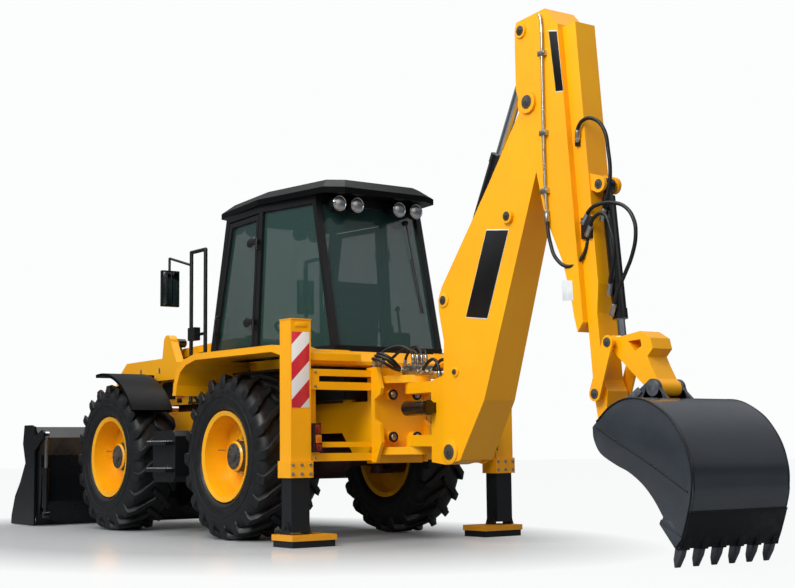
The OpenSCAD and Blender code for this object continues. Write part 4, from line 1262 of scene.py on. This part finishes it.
SIDE_CUTTER = ((-4.600, 0.130), (-4.478, 0.272), (-4.492, 0.300), (-4.545, 0.300), (-4.655, 0.190))
SHELL_WELD = (
    (-3.95, 0.905),
    (-4.09, 1.004),
    (-4.273, 1.045),
    (-4.48, 0.985),
    (-4.644, 0.842),
    (-4.735, 0.64),
    (-4.738, 0.47),
    (-4.694, 0.302),
    (-4.63, 0.14),
)
SIDE_SEAM = ((-3.945, 0.872), (-4.10, 0.79), (-4.325, 0.678), (-4.52, 0.575), (-4.71, 0.47))
# The plates of a hitch ear, its pins and the casting's strut between them
EAR_PLATES = (
    ((-3.720, 0.920), (-4.120, 1.180), (-4.300, 1.020), (-4.000, 0.860), (-3.920, 0.850)),
    ((-3.660, 0.914), (-3.926, 0.925), (-3.985, 0.83), (-3.715, 0.778)),
    ((-4.198, 1.128), (-4.250, 1.01), (-4.03, 1.01), (-4.082, 1.128)),
)
FRONT_PIN = (-3.700, 0.850)
REAR_PIN = (-4.140, 1.120)
HITCH_STRUT = ((-3.86, 0.955), (-3.99, 1.045), (-4.05, 1.095), (-4.02, 1.13), (-3.90, 1.06), (-3.82, 0.99))


def rounded_bucket():
    """The bucket's shell, side plates, lip, teeth, ears and pin, with the shell's real round back."""
    outer = [Vector((max(p.x, BUCKET_REAR), p.y)) for p in bow(BUCKET_SHELL)]
    inner = []
    for k, point in enumerate(outer):
        way = (outer[min(k + 1, len(outer) - 1)] - outer[max(k - 1, 0)]).normalized()
        inner.append(point + Vector((way.y, -way.x)) * -BUCKET_SKIN)
    parts = [across(outer + inner[::-1], -BUCKET_HALF + 0.010, BUCKET_HALF - 0.010, 0)]
    side = outer + list(BUCKET_CORNER) + bow(BUCKET_EDGE, 4)
    parts.append(across(side, -BUCKET_HALF, -BUCKET_HALF + BUCKET_SIDE))
    parts.append(across(side, BUCKET_HALF - BUCKET_SIDE, BUCKET_HALF))
    parts.append(across(BUCKET_LIP, -BUCKET_HALF, BUCKET_HALF))
    parts += [across(TOOTH, y - 0.023, y + 0.023, 0.004) for y in TEETH]
    for s in (1, -1):
        low, high = sorted((s * BUCKET_EAR, s * (BUCKET_EAR + 0.026)))
        parts += [across(plate, low, high) for plate in EAR_PLATES]
        parts.append(cross_bar(*FRONT_PIN, low, high, 0.074, 40, 0.002))
        parts.append(cross_bar(*REAR_PIN, low, high, 0.060, 40, 0.002))
    parts.append(cross_bar(*FRONT_PIN, -0.125, 0.125, 0.032, 28, 0.002))
    return united(parts)


class AddBucketFittings(bpy.types.Operator):
    """The rounded bucket in place of its plain solid, with tooth adaptors, side cutters, welds and hitch"""

    bl_idname = "loader.add_bucket_fittings"
    bl_label = "Bucket fittings"

    def execute(self, context):
        bucket = dressed(rounded_bucket(), "rounded_bucket", "bucket", "bucket_enamel", 30)
        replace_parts(bucket, "bucket")
        adaptors = []
        for y in TEETH:
            adaptors.append(across(ADAPTOR, y - 0.030, y + 0.030, 0.004))
            adaptors.append(cross_bar(-4.612, 0.150, y - 0.035, y + 0.035, 0.011, 14, 0.002))
        adaptors.append(across(LIP_BAND, -BUCKET_HALF, BUCKET_HALF))
        dressed(adaptors, "tooth_adaptors", "bucket", "wear_steel")
        for side, s in SIDES.items():
            cutter = side_plate(SIDE_CUTTER, HOE_Y + s * 0.4495, 0.010, s, 0.002)
            dressed(cutter, f"side_cutter_{side}", "bucket", "bucket_enamel")
        welds = []
        for s in SIDES.values():
            for line in (SHELL_WELD, SIDE_SEAM):
                welds.append(rod([at(x, HOE_Y + s * 0.4505, z) for x, z in line], 0.006))
        welds.append(rod([at(-4.7235, HOE_Y + y, 0.346) for y in (-0.447, 0.447)], 0.005))
        dressed(welds, "bucket_welds", "bucket", "wear_steel")
        castings = []
        for s in SIDES.values():
            for pin, radius in ((FRONT_PIN, 0.062), (REAR_PIN, 0.055)):
                castings.append(cross_bar(*pin, s * 0.098, s * 0.1285, radius, 36, 0.004))
            castings.append(side_plate(HITCH_STRUT, HOE_Y + s * 0.127, 0.012, s, 0.004))
        dressed(castings, "hitch_castings", "bucket", "cast_steel")
        return {"FINISHED"}


# Hoses

DIPPER_SIDE = HOE_Y + DIPPER_HALF + 0.018
DIPPER_PIPE = ((-3.17, 3.84), (-3.185, 3.80), (-3.19, 3.4), (-3.19, 3.0), (-3.195, 2.6), (-3.205, 2.42))
DIPPER_LABEL = ((-3.322, 1.90), (-3.43, 1.89), (-3.44, 1.75), (-3.332, 1.758))
DIPPER_HOSE = (
    (-3.206, 0.25, 2.38),
    (-3.212, 0.25, 2.30),
    (-3.235, 0.25, 2.18),
    (-3.30, 0.25, 2.05),
    (-3.40, 0.23, 1.99),
    (-3.48, 0.21, 2.02),
    (-3.53, 0.19, 2.10),
    (-3.55, 0.185, 2.2),
    (-3.56, 0.185, 2.3),
)
# The hoses that ride on the sliding stick
STICK_HOSES = {
    "rod_end_hose": (
        (-3.533, 0.203, 2.297),
        (-3.594, 0.205, 2.365),
        (-3.692, 0.2, 2.392),
        (-3.80, 0.19, 2.385),
        (-3.90, 0.178, 2.345),
        (-3.972, 0.172, 2.25),
        (-3.985, 0.17, 2.15),
        (-3.95, 0.17, 2.02),
        (-3.88, 0.17, 1.90),
        (-3.80, 0.169, 1.78),
        (-3.747, 0.166, 1.65),
    ),
    "low_hose": (
        (-3.57, 0.203, 2.21),
        (-3.645, 0.22, 2.30),
        (-3.74, 0.222, 2.315),
        (-3.80, 0.218, 2.20),
        (-3.82, 0.21, 2.06),
        (-3.79, 0.195, 1.95),
        (-3.745, 0.177, 1.87),
        (-3.722, 0.166, 1.79),
    ),
    "foot_end_hose": (
        (-3.486, 0.203, 2.885),
        (-3.50, 0.21, 2.95),
        (-3.56, 0.21, 3.0),
        (-3.66, 0.20, 2.985),
        (-3.735, 0.19, 2.90),
        (-3.76, 0.18, 2.75),
        (-3.765, 0.172, 2.60),
        (-3.745, 0.17, 2.49),
        (-3.71, 0.167, 2.40),
        (-3.674, 0.163, 2.31),
    ),
}
# A hose from the valve block to the kingpost, as (station, height)
KINGPOST_HOSE = (
    (-1.56, 1.342),
    (-1.61, 1.372),
    (-1.68, 1.425),
    (-1.75, 1.44),
    (-1.80, 1.39),
    (-1.815, 1.33),
    (-1.815, 1.288),
)


class AddHoses(bpy.types.Operator):
    """Hydraulic pipe and hoses on the backhoe, and the valve block with its hoses on the carriage"""

    bl_idname = "loader.add_hoses"
    bl_label = "Hoses"

    def execute(self, context):
        radius = context.scene.loader_fittings.hose_radius
        pipe([at(x, DIPPER_SIDE, z) for x, z in DIPPER_PIPE], 0.011, "dipper_pipe", "dipper")
        clamps = []
        for z in (3.55, 2.97, 2.55):
            low, high = at(-3.225, DIPPER_SIDE - 0.02, z - 0.02), at(-3.155, DIPPER_SIDE + 0.014, z + 0.02)
            clamps.append(block(low, high, 0.003))
            clamps.append(hex_bolt(at(-3.216, DIPPER_SIDE + 0.014, z), (0, 1, 0), 0.008))
        dressed(clamps, "pipe_clamps", "dipper", "zinc_plate")
        label = side_plate(DIPPER_LABEL, HOE_Y + DIPPER_HALF + 0.0005, 0.001, 1, 0.0003)
        dressed(label, "dipper_label", "dipper", "label_white")
        hose([at(*p) for p in DIPPER_HOSE], radius, "dipper_hose", "dipper")
        for name, route in STICK_HOSES.items():
            hose([at(*p) for p in route], radius, name, "slider")
        ports = [
            block(at(-3.50, 0.184, 2.83), at(-3.46, 0.206, 2.90), 0.003),
            block(at(-3.60, 0.184, 2.17), at(-3.50, 0.206, 2.32), 0.003),
        ]
        dressed(ports, "slider_ports", "slider", "black_powder_coat")
        carriage_hoses(radius)
        return {"FINISHED"}


def carriage_hoses(radius):
    """The valve block over the slewing pin, and the hoses that arch over to it."""
    parts = [block(at(-1.56, 0.0, 1.331), at(-1.38, 0.18, 1.405), 0.005)]
    ports = [0.025 + k * 0.043 for k in range(4)]
    for y in ports:
        parts.append(turned(at(-1.50, y, 1.404), at(-1.50, y, 1.432), 0.013, 18, 0.002))
        parts.append(turned(at(-1.43, y, 1.404), at(-1.43, y, 1.426), 0.010, 6, 0.001))
    dressed(parts, "valve_block", "carriage", "zinc_plate")
    for k, y in enumerate(ports):
        end = -0.13 + k * 0.15
        high = 1.53 + 0.02 * (k % 2)
        route = [
            at(-1.50, y, 1.445),
            at(-1.495, y, 1.49),
            at(-1.44, y + (end - y) * 0.2, high),
            at(-1.34, y + (end - y) * 0.5, high + 0.01),
            at(-1.25, y + (end - y) * 0.85, high - 0.04),
            at(-1.212, end, 1.46),
            at(-1.205, end, 1.425),
        ]
        hose(route, radius * 0.85, f"carriage_hose_{k}", "carriage")
    for k, (out, end) in enumerate(((0.0, 0.245), (0.02, 0.285), (0.045, 0.33))):
        route = [
            at(-1.40, 0.185, 1.365),
            at(-1.43, 0.25 + out, 1.40 - out * 0.5),
            at(-1.44, 0.32 + out, 1.45 - out),
            at(-1.40, 0.365 + out, 1.49 - out),
            at(-1.32, 0.375 + out, 1.505 - out),
            at(-1.245, end + 0.02, 1.485 - out * 0.5),
            at(-1.212, end, 1.45),
            at(-1.206, end, 1.425),
        ]
        hose(route, radius * 0.9, f"shift_hose_{k}", "carriage")
    for k, y in enumerate((0.04, 0.14)):
        hose([at(x, y, z) for x, z in KINGPOST_HOSE], radius, f"kingpost_hose_{k}", "carriage")


# Stage

WHITE = "#FCFDFD"
STAGE_AIM = Vector((-0.5, 0.3, 1.2))
# The camera, found by fitting known points of the machine to the photograph
CAMERA_PLACE = (-10.71, 7.14, 0.74)
CAMERA_TURN = (-36.58, 6.12, -0.6)
FOCAL_PIXELS = 1450.0
PHOTO_PIXELS = 795.0


def add_floor():
    """A floor that shines round the machine, turns white away from it and is dull in reflections."""
    deselect()
    bpy.ops.mesh.primitive_grid_add(x_subdivisions=8, y_subdivisions=8, size=120, location=(0, 0, 0))
    floor = settled(bpy.context.object, "studio_floor")
    tree = blank("studio_floor")
    spans = []
    for axis, middle, reach in (("X", 1.1, 4.0), ("Y", 0.9, 2.6)):
        off = add(tree, "Math", {0: axis_of(tree, axis), 1: middle}, operation="SUBTRACT")
        share = add(tree, "Math", {0: off, 1: reach}, operation="DIVIDE")
        size = add(tree, "Math", {0: share}, operation="ABSOLUTE")
        spans.append(add(tree, "Math", {0: size, 1: 2.0}, operation="POWER"))
    far = add(tree, "Math", {0: spans[0], 1: spans[1]}, operation="ADD").outputs[0]
    sheen = add(tree, "BsdfPrincipled", {"Base Color": linear("#E9ECED"), "Roughness": 0.16, "IOR": 1.45})
    white = add(tree, "Emission", {"Color": linear(WHITE), "Strength": 1.0})
    mixed = add(tree, "MixShader", {0: between(tree, far, 0.0, 0.95, 0.45, 1.5), 1: sheen, 2: white})
    dull = add(tree, "BsdfPrincipled", {"Base Color": linear("#7E8184"), "Roughness": 0.6})
    seen = add(tree, "LightPath").outputs["Is Camera Ray"]
    close(tree, add(tree, "MixShader", {0: seen, 1: dull, 2: mixed}))
    floor.data.materials.append(finishes["studio_floor"])


def add_world(level):
    """A sky that looks white, lights more from one side and is dimmer low down in reflections."""
    world = bpy.data.worlds.new("studio_sky")
    bpy.context.scene.world = world
    world.use_nodes = True
    tree = world.node_tree
    tree.nodes.clear()
    ray = add(tree, "LightPath").outputs
    way = add(tree, "SeparateXYZ", {"Vector": add(tree, "TexCoord").outputs["Generated"]}).outputs
    even = between(tree, way["Y"], 0.45 * level, 1.55 * level, -1.0, 1.0)
    least, most = 0.1, 1.5
    change = between(tree, way["Z"], least - 1.0, most - 1.0, 0.12, 0.8)
    glossy = {0: ray["Is Glossy Ray"], 1: change, 2: 1.0}
    share = add(tree, "Math", glossy, operation="MULTIPLY_ADD")
    strength = add(tree, "Math", {0: even, 1: share}, operation="MULTIPLY")
    lit = add(tree, "Background", {"Color": linear("#F4F7FA"), "Strength": strength})
    shown = add(tree, "Background", {"Color": linear(WHITE), "Strength": 1.0})
    direct = {0: ray["Is Camera Ray"], 1: ray["Is Transmission Ray"]}
    either = add(tree, "Math", direct, operation="MAXIMUM")
    add(tree, "OutputWorld", {"Surface": add(tree, "MixShader", {0: either, 1: lit, 2: shown})})


def add_lamp(name, place, size, power):
    """A square lamp that points at the machine."""
    light = bpy.data.lights.new(name, "AREA")
    light.size = size
    light.energy = power
    lamp = bpy.data.objects.new(name, light)
    bpy.context.scene.collection.objects.link(lamp)
    lamp.location = place
    lamp.rotation_euler = (STAGE_AIM - Vector(place)).to_track_quat("-Z", "Y").to_euler()


def add_camera():
    """The photograph's camera."""
    yaw, pitch, roll = (math.radians(v) for v in CAMERA_TURN)
    ahead = Vector((math.cos(pitch) * math.cos(yaw), math.cos(pitch) * math.sin(yaw), math.sin(pitch)))
    right = ahead.cross(UP).normalized()
    up = right.cross(ahead)
    right_rolled = math.cos(roll) * right + math.sin(roll) * up
    up_rolled = math.cos(roll) * up - math.sin(roll) * right
    lens = bpy.data.cameras.new("photo_camera")
    lens.sensor_width = 36.0
    lens.lens = FOCAL_PIXELS / PHOTO_PIXELS * lens.sensor_width
    lens.clip_end = 300.0
    camera = bpy.data.objects.new("photo_camera", lens)
    bpy.context.scene.collection.objects.link(camera)
    turn = Matrix((right_rolled, up_rolled, -ahead)).transposed().to_4x4()
    camera.matrix_world = Matrix.Translation(at(*CAMERA_PLACE)) @ turn
    bpy.context.scene.camera = camera


class AddStage(bpy.types.Operator):
    """Floor, sky, lamps and the photograph's camera"""

    bl_idname = "loader.add_stage"
    bl_label = "Stage"

    def execute(self, context):
        stage = context.scene.loader_stage
        add_floor()
        add_world(stage.sky_level)
        add_lamp("main_lamp", (-5.0, 9.5, 9.0), 6.0, stage.key_power)
        add_lamp("rear_lamp", (-10.0, -2.0, 6.0), 5.0, stage.key_power * 0.03)
        add_lamp("top_lamp", (1.0, 0.0, 11.0), 9.0, stage.key_power * 0.5)
        add_camera()
        return {"FINISHED"}


# The add-on

STEPS = (
    PaintNodes,
    AddWheelFittings,
    AddTyres,
    AddSafetyFilm,
    AddLamps,
    AddRoadLamps,
    AddCabFittings,
    AddSeat,
    AddHoodFittings,
    AddLoaderPipes,
    AddFrameFittings,
    AddPinEnds,
    AddBucketFittings,
    AddHoses,
    AddStage,
)


class LoaderPanel(bpy.types.Panel):
    """Lists the steps that dress the machine"""

    bl_idname = "LOADER_PT_dress"
    bl_label = "Backhoe loader"
    bl_space_type = "VIEW_3D"
    bl_region_type = "UI"
    bl_category = "Loader"

    def draw(self, context):
        for group in (context.scene.loader_paint, context.scene.loader_fittings, context.scene.loader_stage):
            for name in group.__annotations__:
                self.layout.prop(group, name)
        for step in STEPS:
            self.layout.operator(step.bl_idname)


CLASSES = (PaintSettings, FittingSettings, StageSettings, *STEPS, LoaderPanel)


def register():
    for item in CLASSES:
        bpy.utils.register_class(item)
    bpy.types.Scene.loader_paint = bpy.props.PointerProperty(type=PaintSettings)
    bpy.types.Scene.loader_fittings = bpy.props.PointerProperty(type=FittingSettings)
    bpy.types.Scene.loader_stage = bpy.props.PointerProperty(type=StageSettings)


def unregister():
    del bpy.types.Scene.loader_stage
    del bpy.types.Scene.loader_fittings
    del bpy.types.Scene.loader_paint
    for item in reversed(CLASSES):
        bpy.utils.unregister_class(item)


def main():
    register()
    bpy.context.scene.view_settings.view_transform = "Standard"
    make_finishes(bpy.context.scene.loader_paint)
    for item in STEPS:
        group, call = item.bl_idname.split(".")
        getattr(getattr(bpy.ops, group), call)()


if __name__ == "__main__":
    main()
